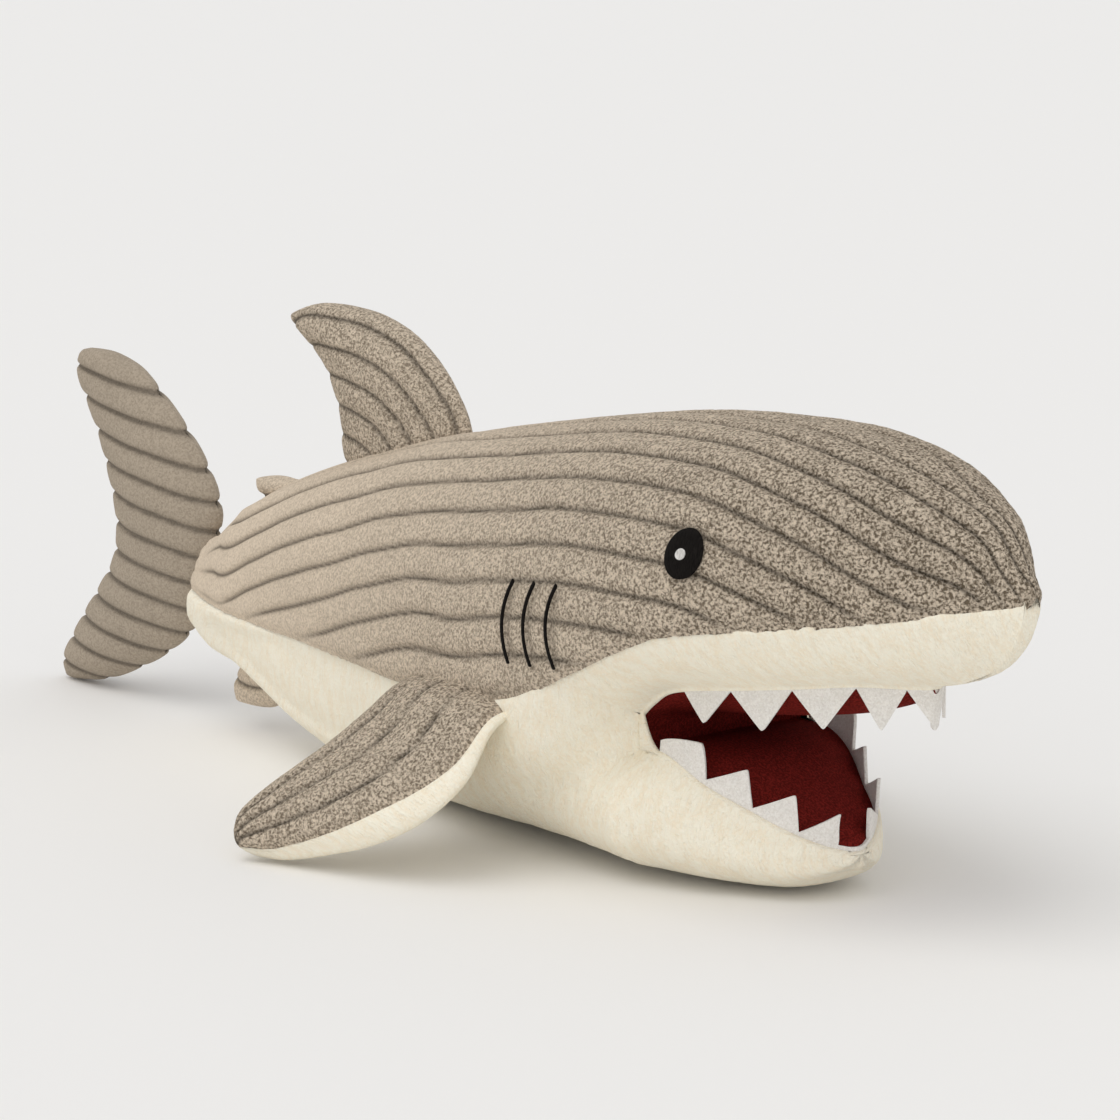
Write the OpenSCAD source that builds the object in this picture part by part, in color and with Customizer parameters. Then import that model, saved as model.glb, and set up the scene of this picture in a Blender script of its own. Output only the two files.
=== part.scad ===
// Plush shark lying on its belly with an open, toothed mouth.
// +X points to the snout, +Z up, origin under the middle of the length on the resting plane.

/* [Overall size] */
// Length from the tail lobes to the snout
total_l = 600; // [450:10:750]
// Width of the stuffed body at its widest
body_w = 150; // [110:5:190]
// Height of the stuffed body at the top of the back
body_h = 169; // [130:1:210]

/* [Fins] */
// Height of the dorsal fin above the back
dorsal_h = 65; // [45:1:80]
// Distance between the tips of the two tail lobes
tail_h = 157; // [120:1:157]
// Reach of each pectoral fin from its root seam
pectoral_l = 83; // [60:1:84]
// Half thickness of the stuffed fins where they are fattest
fin_half_t = 9; // [6:0.5:10]

/* [Fabric] */
// Thickness of the ribbed grey pile fabric
back_t = 3.5; // [2:0.25:4.5]
// Thickness of the short cream pile fabric
belly_t = 3; // [2:0.25:4]
// Thickness of the red mouth jersey with its backing
lining_t = 2; // [1:0.25:3]
// Thickness of the felt of the teeth
felt_t = 1.2; // [0.8:0.1:2]
// Gap left between a fabric and the filling or fabric beside it
fit_gap = 0.25; // [0.2:0.05:0.5]
// Gap between two parts that move against each other
move_gap = 0.6; // [0.4:0.1:1.5]

/* [Mouth] */
// Height of an upper tooth below its band
upper_tooth_h = 13; // [8:0.5:15]
// Height of a lower tooth above its band
lower_tooth_h = 11; // [8:0.5:13]
// Height of the felt band that carries the teeth
tooth_band_h = 3.5; // [2:0.5:5]

/* [Face] */
// Length of the embroidered eye
eye_l = 14; // [10:0.5:18]
// Height of the embroidered eye
eye_h = 17; // [12:0.5:22]
// Diameter of the pale dot in the eye
highlight_d = 4.4; // [3:0.2:7]
// Width of a gill stitch line
gill_w = 1.6; // [1:0.1:2.5]

/* [Hidden] */

// Scale of the outline tables, which are written for a 600 x 150 x 169 body
sx = total_l / 600;
sy = body_w / 150;
sz = body_h / 169;

grey = [0.65, 0.60, 0.53];
cream = [0.91, 0.87, 0.78];
jersey_red = [0.34, 0.12, 0.11];
felt_white = [0.86, 0.84, 0.81];
filling = [0.95, 0.95, 0.93];

// Body stations: x, ridge z, widest z (the grey and cream seam), half width, belly z
BODY = [
    [-177, 84, 60, 14, 40], [-160, 93, 59, 20, 32], [-137, 103, 58, 26, 27],
    [-116, 112, 58, 30, 19], [-87, 122, 59, 37, 10], [-60, 130, 60, 43, 3],
    [-33, 137, 60, 48, -2], [0, 145, 60, 55, -4], [33, 151, 60, 62, -4],
    [80, 159, 63, 71, -4], [120, 165, 70, 75, -3], [150, 168, 84, 75, -2],
    [185, 169, 101, 71, -2], [207, 168.5, 106, 65, 0], [241, 164, 111, 49, 0],
    [270, 154, 116, 33, 0], [288, 145, 119, 19, 0], [300, 129, 121, 4, 0]
];
// Lip line stations: x, half width, height
LIP = [[150, 42, 62], [155, 42, 66.5], [164, 42, 72.5], [178, 42, 76], [195, 40, 78.5], [220, 33, 82],
    [240, 22, 84.5], [252, 10, 84], [257, 2, 83.5]];
// Lowest line of the palate along the middle: x, z
PALATE = [[150, 58], [186, 63], [225, 69], [250, 77], [257, 81]];
// Jaw stations: x, half width, widest z, gum half width, gum z, tongue z, chin z
JAW = [
    [150, 57, 28, 42, 49, 50, -2], [164, 51, 27, 42, 48, 51.5, -2],
    [183, 44.5, 22, 40, 39, 48, -2], [200, 36, 18, 33, 31, 38, -1],
    [212, 26.5, 15, 25, 25, 29, 3], [220, 15.5, 14, 14, 20, 22.5, 8], [224, 7, 15, 5, 17.5, 19, 12]
];
back_end_x = 149.5;
// Table x where the tongue cushion rounds off to nothing
tongue_end_x = 217.5;
tail_tilt = 18 / 48;

// Fin stations, root to tip: front x, z, back x, z, share of the full thickness
DORSAL = [
    [-1, 151, -82, 131, 0.5], [-9, 161, -82, 140, 0.9], [-20, 171, -86, 153, 1],
    [-37, 181, -93, 164, 1], [-58, 187, -102, 172, 0.9], [-80, 189, -109, 178, 0.75],
    [-98, 188, -113, 182, 0.5], [-107, 186.5, -112, 184.5, 0.2]
];
TAIL = [
    [-289, 0.5, -298, 3, 0.2], [-268, 3.5, -300, 9, 0.6], [-245, 11, -294, 18, 0.85],
    [-218, 23, -282, 32, 0.95], [-196, 38, -267, 48, 1], [-185.5, 54, -256, 61, 1],
    [-181, 66, -252, 73, 1], [-176, 80, -253, 85, 1], [-175, 95, -257, 97, 1],
    [-186, 113, -264, 114, 0.95], [-206, 131, -272, 127, 0.85], [-234, 149, -280, 139, 0.7],
    [-256, 155, -283, 147, 0.5], [-270, 156.5, -282, 153, 0.2]
];
// Pectoral stations, root to tip: front x, y, z, back x, y, z, share of the full thickness
PECTORAL = [
    [121, 83.5, 55, 42, 69.5, 57, 0.5], [119, 94, 40, 40, 82, 48, 0.95],
    [107, 106, 26, 38, 96, 39, 1], [89, 116, 15, 33, 109, 30, 1],
    [68, 123, 8, 28, 120, 22, 0.8], [50, 129, 4, 26, 129, 15, 0.6],
    [39, 135, 3, 28, 136, 9, 0.25]
];
SECOND_DORSAL = [[-120, 113.5, -137, 107, 1], [-125, 115.2, -141, 109, 0.9], [-132, 116, -144, 111.5, 0.6],
    [-137, 115.5, -143, 113.5, 0.3]];
ANAL = [[-124, 17, -149, 27, 1], [-134, 12.5, -154, 21, 0.9], [-147, 11, -160, 16, 0.6],
    [-154, 11.5, -160, 13.5, 0.3]];
small_fin_half_t = 4.5;

// Row that holds x, counted from row i
function row_at(t, x, i = 0) = i >= len(t) - 2 || x < t[i + 1][0] ? i : row_at(t, x, i + 1);
// Slope of column c at row i
function slope(t, i, c) =
    let (a = max(0, i - 1), b = min(len(t) - 1, i + 1)) (t[b][c] - t[a][c]) / (t[b][0] - t[a][0]);
// Column c of table t at x, on a smooth curve through the rows
function curve(t, x, c = 1) =
    let (i = row_at(t, x), h = t[i + 1][0] - t[i][0], u = (x - t[i][0]) / h)
    t[i][c] * (2 * u ^ 3 - 3 * u ^ 2 + 1) + slope(t, i, c) * h * (u ^ 3 - 2 * u ^ 2 + u)
    + t[i + 1][c] * (3 * u ^ 2 - 2 * u ^ 3) + slope(t, i + 1, c) * h * (u ^ 3 - u ^ 2);
// Sine or cosine raised to a power, with its sign kept
function soft(v, p) = sign(v) * abs(v) ^ p;
// n + 1 even steps from a to b
function steps(a, b, n) = [for (i = [0:n]) a + (b - a) * i / n];
// Steps that crowd towards b
function closing_steps(a, b, n) = [for (i = [0:n]) a + (b - a) * sin(90 * i / n)];
// The slant of the seam where the tail is sewn on
function tail_shift(x, z) = x > -140 ? 0 : tail_tilt * (z - 60) * min(1, (-140 - x) / 37);
// Point of the body section at table x, at angle a from -90 belly to 90 ridge, inset by d
function body_pt(x, a, d = 0) =
    let (w = curve(BODY, x, 3) * sy - d, zs = curve(BODY, x, 2),
         zt = curve(BODY, x, 1), zb = curve(BODY, x, 4),
         z = zs + (a > 0 ? zt - zs : zs - zb) * soft(sin(a), 0.85))
    [(x + tail_shift(x, z)) * sx, w * soft(cos(a), 0.85), max(z * sz - d * sin(a), d)];
// Half width of the body at table x and height z
function flank_y(x, z) =
    let (zs = curve(BODY, x, 2), zt = curve(BODY, x, 1), s = min(1, abs((z - zs) / (zt - zs))) ^ (1 / 0.85))
    curve(BODY, x, 3) * soft(sqrt(1 - s ^ 2), 0.85);

// Closed shell between two matching grids of points
module sheet(outer, inner) {
    m = len(outer);
    n = len(outer[0]);
    k = m * n;
    function at(i, j) = i * n + j;
    rim = concat([for (j = [0:n - 1]) at(0, j)], [for (i = [1:m - 1]) at(i, n - 1)],
                 [for (j = [n - 2:-1:0]) at(m - 1, j)], [for (i = [m - 2:-1:1]) at(i, 0)]);
    polyhedron(
        points = concat([for (r = outer) each r], [for (r = inner) each r]),
        faces = concat(
            [for (i = [0:m - 2], j = [0:n - 2]) each
                [[at(i, j), at(i, j + 1), at(i + 1, j + 1)], [at(i, j), at(i + 1, j + 1), at(i + 1, j)]]],
            [for (i = [0:m - 2], j = [0:n - 2]) each
                [[k + at(i, j), k + at(i + 1, j + 1), k + at(i, j + 1)],
                 [k + at(i, j), k + at(i + 1, j), k + at(i + 1, j + 1)]]],
            [for (q = [0:len(rim) - 1]) let (a = rim[q], b = rim[(q + 1) % len(rim)]) each
                [[a, k + a, k + b], [a, k + b, b]]]),
        convexity = 8);
}

// Closed solid through a row of rings
module loft(rings) {
    m = len(rings);
    n = len(rings[0]);
    polyhedron(
        points = [for (r = rings) each r],
        faces = concat(
            [for (i = [0:m - 2], j = [0:n - 1]) let (k = (j + 1) % n) each
                [[i * n + j, i * n + k, (i + 1) * n + k], [i * n + j, (i + 1) * n + k, (i + 1) * n + j]]],
            [for (j = [1:n - 2]) [0, j + 1, j]],
            [for (j = [1:n - 2]) [(m - 1) * n, (m - 1) * n + j, (m - 1) * n + j + 1]]),
        convexity = 6);
}

// --- body ---
body_x = concat(steps(-177, 100, 18), steps(115, 240, 10), closing_steps(248, 300, 8));

module back_skin() {
    around = steps(179, 1, 20);
    color(grey) sheet(
        [for (x = body_x) [for (a = around) body_pt(x, a)]],
        [for (x = body_x) [for (a = around) body_pt(x, a, back_t)]]);
}

module belly_skin() {
    around = steps(-1, -179, 16);
    rows = concat(steps(-177, 100, 18), steps(115, back_end_x, 3));
    color(cream) sheet(
        [for (x = rows) [for (a = around) body_pt(x, a)]],
        [for (x = rows) [for (a = around) body_pt(x, a, belly_t)]]);
}

// Point of the lip band: s from 0 at the right corner to 1 at the left, u from 0 at the lip to 1 at the seam
function lip_pt(s, u, d = 0) =
    let (side = s < 0.5 ? -1 : 1, q = 1 - abs(2 * s - 1),
         xl = 150.5 + (257 - 150.5) * sin(90 * q), xs = 150.5 + (300 - 150.5) * sin(90 * q),
         yl = curve(LIP, xl, 1), zl = curve(LIP, xl, 2),
         ys = curve(BODY, xs, 3), zs = curve(BODY, xs, 2) - 0.8,
         bulge = 0.16 * sin(180 * u) * (zs - zl) * (1 - 0.5 * q),
         full = 8.5 * sin(180 * u) ^ 0.9 * q ^ 1.5,
         x = xl + (xs - xl) * u + (bulge * q + full) * 0.8,
         y = max(0, yl + (ys - yl) * u + (bulge + 0.45 * full) * (1 - q)),
         z = zl + (zs - zl) * u - bulge * 0.6 - full * 0.55)
    [x * sx - d * sin(90 * q), side * (y * sy - d * cos(90 * q)), z * sz + (1 - u) * d * 0.9 - u * 0.2];

module upper_lip_skin() {
    along = steps(0, 1, 32);
    color(cream) sheet(
        [for (s = along) [for (u = steps(0.02, 1, 6)) lip_pt(s, u)]],
        [for (s = along) [for (u = steps(0.02, 1, 6)) lip_pt(s, u, belly_t)]]);
}

// Point of the palate at table x, k from -1 to 1 across, raised by d
function palate_pt(x, k, d = 0) =
    let (y = max(curve(LIP, x, 1) - 0.8, 0.5), zl = curve(LIP, x, 2), zp = min(zl - 1, curve(PALATE, x)))
    [x * sx, k * (y * sy - belly_t - fit_gap), (zp + (zl - zp) * k ^ 2) * sz + d];

module palate_lining() {
    rows = concat(steps(back_end_x + 1, 240, 9), [246, 250]);
    color(jersey_red) sheet(
        [for (x = rows) [for (k = steps(1, -1, 12)) palate_pt(x, k)]],
        [for (x = rows) [for (k = steps(1, -1, 12)) palate_pt(x, k, lining_t)]]);
}

// Point of the filling: the body shape behind the mouth, the upper head in front of it
function fill_pt(x, a, d) =
    a >= 0 || x < back_end_x - 1 ? body_pt(x, a, d)
    : let (w = curve(BODY, x, 3) * sy - d - 6, zs = curve(BODY, x, 2) * sz,
           floor_z = (x < 257 ? min(curve(PALATE, x) * sz + 16, zs - 8) : zs - 4 - 18 * (299 - x) / 42))
      [x * sx, w * soft(cos(a), 1.5), zs + (zs - floor_z) * soft(sin(a), 1.5)];

module body_stuffing() {
    rows = concat(steps(-172, 100, 16), [118, 134, back_end_x - 3.2, back_end_x - 0.2],
                  steps(162, 240, 6), closing_steps(250, 290, 4));
    around = steps(-90, 270, 32);
    color(filling) loft(
        [for (x = rows) [for (i = [0:31]) let (a = around[i])
            fill_side(x, a, a < 0 || a > 180 ? belly_t + 6 * fit_gap : back_t + 4 * fit_gap)]]);
}
// Angles past the ridge come back down the left side
function fill_side(x, a, d) =
    let (p = fill_pt(x, a <= 90 ? a : 180 - a, d)) [p[0], a <= 90 ? -p[1] : p[1], p[2]];

// --- face ---
eye_at = [199, 129];
module eye_patch_right() {
    color([0.13, 0.11, 0.10]) disc(eye_at, eye_l / 2, eye_h / 2, fit_gap, fit_gap + 1.4);
}
module eye_highlight_right() {
    color([0.93, 0.91, 0.88])
        disc(eye_at, highlight_d / 2, highlight_d / 2, 2 * fit_gap + 1.4, 2 * fit_gap + 2.2);
}
// Solid disc between two lifts above the flank
module disc(at, rx, rz, low, high) {
    top = flank_ring(at, rx, rz, high);
    base = flank_ring(at, rx, rz, low);
    n = len(top);
    mid = [at[0] * sx, -flank_y(at[0], at[1]) * sy, at[1] * sz];
    polyhedron(
        points = concat(top, base, [mid - [0, high, 0], mid - [0, low, 0]]),
        faces = [for (i = [0:n - 1]) let (j = (i + 1) % n) each
            [[2 * n, j, i], [2 * n + 1, n + i, n + j], [i, j, n + j], [i, n + j, n + i]]]);
}
function flank_ring(at, rx, rz, lift) =
    [for (t = [0:15:345]) let (x = at[0] + rx / sx * cos(t), z = at[1] + rz / sz * sin(t))
        [x * sx, -flank_y(x, z) * sy - lift, z * sz]];

module gill_stitches_right() {
    for (k = [0:2]) color([0.08, 0.08, 0.08]) gill(k);
}
// One curved stitch line, bulging towards the tail
module gill(k) {
    line = [for (t = steps(-1, 1, 8)) let (x = 110.5 + 13.2 * k + 4.5 * t ^ 2 + 2.2 * (1 - t) / 2,
        z = 94.5 + k + 14.5 * t) [x, z]];
    sheet(
        [for (p = line) [for (e = [1, -1]) gill_pt(p, e, fit_gap + 1.2)]],
        [for (p = line) [for (e = [1, -1]) gill_pt(p, e, fit_gap)]]);
}
function gill_pt(p, e, lift) =
    let (x = p[0] + e * gill_w / 2 / sx) [x * sx, -flank_y(x, p[1]) * sy - lift, p[1] * sz];

// --- teeth ---
// Height of a row of teeth at phase p, one tooth for each whole number
function tooth(p) = let (f = abs(2 * (p - floor(p)) - 1)) (1 - f ^ 1.2);

module upper_teeth() {
    along = steps(0.11, 0.89, 72);
    function root(s, out) = let (p = lip_pt(s, 0.02, out)) [p[0], p[1], p[2] - 0.4 - out * 0.9];
    function row(s, out) =
        let (p = root(s, out), h = tooth_band_h + upper_tooth_h * tooth(9 * (s - 0.11) / 0.78))
        [p - [0, 0, fit_gap], p - [0, 0, h / 2], p - [0, 0, h]];
    color(felt_white) sheet([for (s = along) row(s, 1 + felt_t)], [for (s = along) row(s, 1)]);
}

// Point of the jaw section: a from -90 at the chin line to 90 at the gum line, inset by d
function jaw_pt(x, a, d = 0) =
    let (w = curve(JAW, x, 1) * sy, zm = curve(JAW, x, 2), yg = curve(JAW, x, 3) * sy,
         zg = curve(JAW, x, 4), zb = curve(JAW, x, 6),
         a1 = acos(min(0.98, yg / w)), t = a > 0 ? a / 90 * a1 : a,
         y = (w - d) * (a > 0 ? cos(t) : soft(cos(a), 0.8)),
         z = a > 0 ? zm + (zg - zm) * sin(t) / sin(a1) : zm + (zm - zb) * soft(sin(a), 0.8))
    [x * sx, y, max(z * sz - (a < 0 ? d * sin(a) : 0), d)];
jaw_rows = concat(steps(back_end_x + move_gap, 200, 6), closing_steps(206, 223.5, 6));

module lower_jaw_skin() {
    around = concat(steps(90, -90, 12), steps(-75, 90, 11));
    function side(i) = i <= 12 ? 1 : -1;
    color(cream) sheet(
        [for (x = jaw_rows) [for (i = [0:len(around) - 1]) let (p = jaw_pt(x, around[i])) [p[0], side(i) * p[1], p[2]]]],
        [for (x = jaw_rows) [for (i = [0:len(around) - 1]) let (p = jaw_pt(x, around[i], belly_t))
            [p[0], side(i) * p[1], p[2]]]]);
}
// Point of the tongue cushion at table x, k from -1 to 1 across, lowered by d
function tongue_pt(x, k, d = 0) =
    let (round_off = sqrt(min(1, (tongue_end_x - x) / 7)),
         yg = (curve(JAW, x, 3) * sy - belly_t - fit_gap - felt_t) * round_off,
         zg = curve(JAW, x, 4), zt = curve(JAW, x, 5))
    [x * sx, k * max(yg, 1), (zt + (zg - 1 - zt) * k ^ 2) * sz - d];

module jaw_lining() {
    rows = concat([for (x = jaw_rows) if (x < 211) x], [212.5, 214.5, 216, 216.9]);
    color(jersey_red) sheet(
        [for (x = rows) [for (k = steps(-1, 1, 12)) tongue_pt(x, k)]],
        [for (x = rows) [for (k = steps(-1, 1, 12)) tongue_pt(x, k, lining_t)]]);
}

module jaw_stuffing() {
    inset = belly_t + 3 * fit_gap;
    rows = [for (x = jaw_rows) if (x < 214) x];
    color(filling) loft([for (x = rows) concat(
        [for (k = steps(-0.88, 0.88, 12)) tongue_pt(x, k, lining_t + 2 * fit_gap)],
        [for (a = steps(48, -90, 8)) jaw_pt(x, a, inset)],
        [for (a = steps(-72, 48, 7)) let (p = jaw_pt(x, a, inset)) [p[0], -p[1], p[2]]])]);
}

module lower_teeth() {
    along = steps(0, 1, 64);
    function gum(s, out) =
        let (side = s < 0.5 ? -1 : 1, q = 1 - abs(2 * s - 1), x = 162 + (221 - 162) * sin(90 * q),
             y = curve(JAW, x, 3) * sy * min(1, 3.2 * (1 - q)), px = (x + 1) * sx - (belly_t + fit_gap + out) * q,
             zg = max(curve(JAW, x, 4), curve(JAW, px / sx, 4)))
        [px, side * max(0, y - (belly_t + fit_gap + out - 1) * (1 - q)), zg * sz + fit_gap];
    function row(s, out) = let (p = gum(s, out), h = tooth_band_h + lower_tooth_h * tooth(8 * s))
        [p + [0, 0, h], p + [0, 0, h / 2], p];
    color(felt_white) sheet([for (s = along) row(s, felt_t * 0.8)], [for (s = along) row(s, 0)]);
}

// --- fins ---
// Height of one face of a fin above its middle plane at u from 0, front edge, to 1, back edge
function crown(u) = (4 * u * (1 - u)) ^ 0.6;
// Point on one face of a fin: station s holds front, back and half thickness
function fin_pt(s, u, n, side, lift) = s[0] + (s[1] - s[0]) * u + n * side * (lift + (s[2]) * crown(u));

// One sewn face of a fin, from the middle plane outwards
module fin_face(st, n, side) {
    across = [for (t = steps(0, 180, 10)) (1 - cos(t)) / 2];
    outer = [for (s = st) [for (u = across) fin_pt(s, u, n, side, belly_t * 0.5 + fit_gap)]];
    inner = [for (s = st) [for (u = across) fin_pt([s[0], s[1], max(0, s[2] - belly_t)], u, n, side, fit_gap / 2)]];
    if (side > 0) sheet(outer, inner);
    else sheet(inner, outer);
}
// The filling between the two faces
module fin_fill(st, n) {
    inside = [for (i = [0:len(st) - 2]) if (st[i][2] > belly_t + 1) st[i]];
    across = steps(0.08, 0.92, 8);
    loft([for (s = inside) let (f = [s[0], s[1], s[2] - belly_t]) concat(
        [for (u = across) fin_pt(f, u, n, 1, -fit_gap)],
        [for (i = [8:-1:0]) fin_pt(f, across[i], n, -1, -fit_gap)])]);
}

// Stations as points: front, back, half thickness. The fin grows about its root line by f
function upright(t, half, root, f) =
    [for (r = t) [scaled([r[0], 0, r[1]], root, f), scaled([r[2], 0, r[3]], root, f), half * r[4]]];
function scaled(p, root, f) = let (q = root + (p - root) * f) [q[0] * sx, q[1], q[2] * sz];

dorsal = upright(DORSAL, fin_half_t, [-41, 0, 141], dorsal_h / 65);
tail = upright(TAIL, fin_half_t, [-181, 0, 0], tail_h / 157);
pectoral_root = [78, -76, 56];
pectoral = [for (r = PECTORAL) let (k = pectoral_l / 83,
    a = pectoral_root + ([r[0], -r[1], r[2]] - pectoral_root) * k,
    b = pectoral_root + ([r[3], -r[4], r[5]] - pectoral_root) * k)
    [[a[0] * sx, a[1] * sy, a[2] * sz], [b[0] * sx, b[1] * sy, b[2] * sz], fin_half_t * r[6]]];
pectoral_n = let (a = pectoral[3][0] - pectoral[0][0], b = pectoral[2][1] - pectoral[2][0], c = cross(b, a))
    c / norm(c) * (c[2] > 0 ? -1 : 1);

module dorsal_fin_right_face() { color(grey) fin_face(dorsal, [0, -1, 0], 1); }
module dorsal_fin_left_face() { color(grey) fin_face(dorsal, [0, -1, 0], -1); }
module dorsal_fin_stuffing() { color(filling) fin_fill(dorsal, [0, -1, 0]); }
module tail_fin_right_face() { color(grey) fin_face(tail, [0, -1, 0], 1); }
module tail_fin_left_face() { color(grey) fin_face(tail, [0, -1, 0], -1); }
module tail_fin_stuffing() { color(filling) fin_fill(tail, [0, -1, 0]); }
module pectoral_right_top() { color(grey) fin_face(pectoral, pectoral_n, -1); }
module pectoral_right_under() { color(cream) fin_face(pectoral, pectoral_n, 1); }
module pectoral_right_stuffing() { color(filling) fin_fill(pectoral, pectoral_n); }

// A small fin sewn shut and filled, as one closed cushion
module small_fin(t, n) {
    st = upright(t, small_fin_half_t, [t[0][0], 0, t[0][1]], 1);
    across = [for (a = steps(0, 180, 8)) (1 - cos(a)) / 2];
    loft([for (s = st) concat(
        [for (u = across) fin_pt(s, u, n, 1, 0.6)],
        [for (i = [8:-1:0]) fin_pt(s, across[i], n, -1, 0.6)])]);
}
module second_dorsal_fin() { color(grey) small_fin(SECOND_DORSAL, [0, -1, 0]); }
module anal_fin() { color(grey) small_fin(ANAL, [0, 1, 0]); }

// --- left side, mirrored ---
module eye_patch_left() { mirror([0, 1, 0]) eye_patch_right(); }
module eye_highlight_left() { mirror([0, 1, 0]) eye_highlight_right(); }
module gill_stitches_left() { mirror([0, 1, 0]) gill_stitches_right(); }
module pectoral_left_top() { mirror([0, 1, 0]) pectoral_right_top(); }
module pectoral_left_under() { mirror([0, 1, 0]) pectoral_right_under(); }
module pectoral_left_stuffing() { mirror([0, 1, 0]) pectoral_right_stuffing(); }

back_skin();
belly_skin();
upper_lip_skin();
palate_lining();
body_stuffing();
upper_teeth();
eye_patch_right();
eye_patch_left();
eye_highlight_right();
eye_highlight_left();
gill_stitches_right();
gill_stitches_left();
second_dorsal_fin();
anal_fin();
lower_jaw_skin();
jaw_lining();
jaw_stuffing();
lower_teeth();
dorsal_fin_right_face();
dorsal_fin_left_face();
dorsal_fin_stuffing();
tail_fin_right_face();
tail_fin_left_face();
tail_fin_stuffing();
pectoral_right_top();
pectoral_right_under();
pectoral_right_stuffing();
pectoral_left_top();
pectoral_left_under();
pectoral_left_stuffing();
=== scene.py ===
"""Plush shark: the sewn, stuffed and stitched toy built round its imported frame."""
import logging
import math
from dataclasses import dataclass, field
from enum import Enum
from typing import Sequence

import bmesh
import bpy
import numpy as np
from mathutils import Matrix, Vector, noise


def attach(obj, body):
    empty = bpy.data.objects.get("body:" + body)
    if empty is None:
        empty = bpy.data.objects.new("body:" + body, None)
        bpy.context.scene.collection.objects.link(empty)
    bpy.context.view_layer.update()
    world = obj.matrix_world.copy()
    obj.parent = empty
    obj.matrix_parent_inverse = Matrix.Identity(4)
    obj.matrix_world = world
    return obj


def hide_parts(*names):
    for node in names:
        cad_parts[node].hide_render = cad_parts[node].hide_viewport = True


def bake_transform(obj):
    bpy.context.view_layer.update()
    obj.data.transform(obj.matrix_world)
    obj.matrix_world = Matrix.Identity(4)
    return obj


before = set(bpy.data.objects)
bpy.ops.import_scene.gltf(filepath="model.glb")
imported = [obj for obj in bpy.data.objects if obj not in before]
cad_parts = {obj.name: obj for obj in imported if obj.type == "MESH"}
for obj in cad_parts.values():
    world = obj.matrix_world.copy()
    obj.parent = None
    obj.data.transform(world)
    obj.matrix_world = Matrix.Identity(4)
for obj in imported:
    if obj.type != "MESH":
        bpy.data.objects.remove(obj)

log = logging.getLogger("shark")
MM = 0.001
MIRROR = np.array([1, -1, 1])
Array = np.ndarray


# ---------------------------------------------------------------- curves and grids

@dataclass(frozen=True)
class Profile:
    """A smooth line of one size against another, through a few stations in millimetres."""

    at: tuple[float, ...]
    value: tuple[float, ...]

    def __call__(self, x: Array) -> Array:
        """Value at x.

        Args:
            x: station or stations in millimetres.

        Returns:
            The value there, on a Catmull-Rom line that is held flat past both ends.
        """
        a, v = np.array(self.at, float), np.array(self.value, float)
        x = np.clip(np.asarray(x, float), a[0], a[-1])
        slope = np.gradient(v, a) if len(a) < 3 else self._slopes(a, v)
        i = np.clip(np.searchsorted(a, x, side="right") - 1, 0, len(a) - 2)
        h = a[i + 1] - a[i]
        u = (x - a[i]) / h
        return (v[i] * (2 * u**3 - 3 * u**2 + 1) + slope[i] * h * (u**3 - 2 * u**2 + u)
                + v[i + 1] * (3 * u**2 - 2 * u**3) + slope[i + 1] * h * (u**3 - u**2))

    @staticmethod
    def _slopes(a: Array, v: Array) -> Array:
        """Slope at every station, from its two neighbours."""
        m = np.empty_like(v)
        m[1:-1] = (v[2:] - v[:-2]) / (a[2:] - a[:-2])
        m[0], m[-1] = (v[1] - v[0]) / (a[1] - a[0]), (v[-1] - v[-2]) / (a[-1] - a[-2])
        return m


def soft(value: Array, power: float) -> Array:
    """A sine or cosine raised to a power with its sign kept."""
    return np.sign(value) * np.abs(value) ** power


def smooth(value: Array, low: float, high: float) -> Array:
    """Smooth step of value from 0 at low to 1 at high."""
    t = np.clip((value - low) / (high - low), 0, 1)
    return t * t * (3 - 2 * t)


def closing(start: float, end: float, count: int) -> Array:
    """Stations from start to end that crowd towards the end, for a rounded nose."""
    return start + (end - start) * np.sin(np.linspace(0, math.pi / 2, count))


def wobble(points: Array, scale: float, seed: float = 0.0) -> Array:
    """Smooth noise from -1 to 1 at every point.

    Args:
        points: positions in metres, last axis x, y, z.
        scale: size of a noise cell in metres.
        seed: offset that gives each use its own pattern.

    Returns:
        One number for each point.
    """
    flat = points.reshape(-1, 3) / scale + seed
    values = np.array([noise.noise(p) for p in flat.tolist()])
    return values.reshape(points.shape[:-1])


def grid_normals(grid: Array) -> Array:
    """Unit normals of a grid of points, down the rows x across them."""
    n = np.cross(np.gradient(grid, axis=0), np.gradient(grid, axis=1))
    return n / np.maximum(np.linalg.norm(n, axis=-1, keepdims=True), 1e-12)


def arc_along(grid: Array, axis: int) -> Array:
    """Distance in metres along one axis of a grid, from its first line."""
    step = np.linalg.norm(np.diff(grid, axis=axis), axis=-1)
    zero = np.zeros_like(np.take(step, [0], axis=axis))
    return np.cumsum(np.concatenate([zero, step], axis=axis), axis=axis)


def outward(grid: Array) -> Array:
    """Unit normals of a grid of points, turned away from the grid's middle."""
    normals = grid_normals(grid)
    return normals * np.sign(np.sum(normals * (grid - grid.mean(axis=(0, 1)))))


def from_rim(grid: Array) -> Array:
    """Distance of every point from the nearer end of its row."""
    length = arc_along(grid, 1)
    return np.minimum(length, length[:, -1:] - length)


def unit(rows: Array) -> Array:
    """Rows of vectors made one long."""
    return rows / np.linalg.norm(rows, axis=1, keepdims=True)


def place(name: str, data: bpy.types.ID) -> bpy.types.Object:
    """Puts a new object that shows data into the scene, at the origin."""
    obj = bpy.data.objects.new(name, data)
    bpy.context.scene.collection.objects.link(obj)
    return obj


def evaluated(obj: bpy.types.Object) -> bpy.types.Mesh:
    """A plain mesh of an object as its modifiers leave it."""
    graph = bpy.context.evaluated_depsgraph_get()
    shown = obj.evaluated_get(graph)
    return bpy.data.meshes.new_from_object(shown, preserve_all_data_layers=True, depsgraph=graph)


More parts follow.
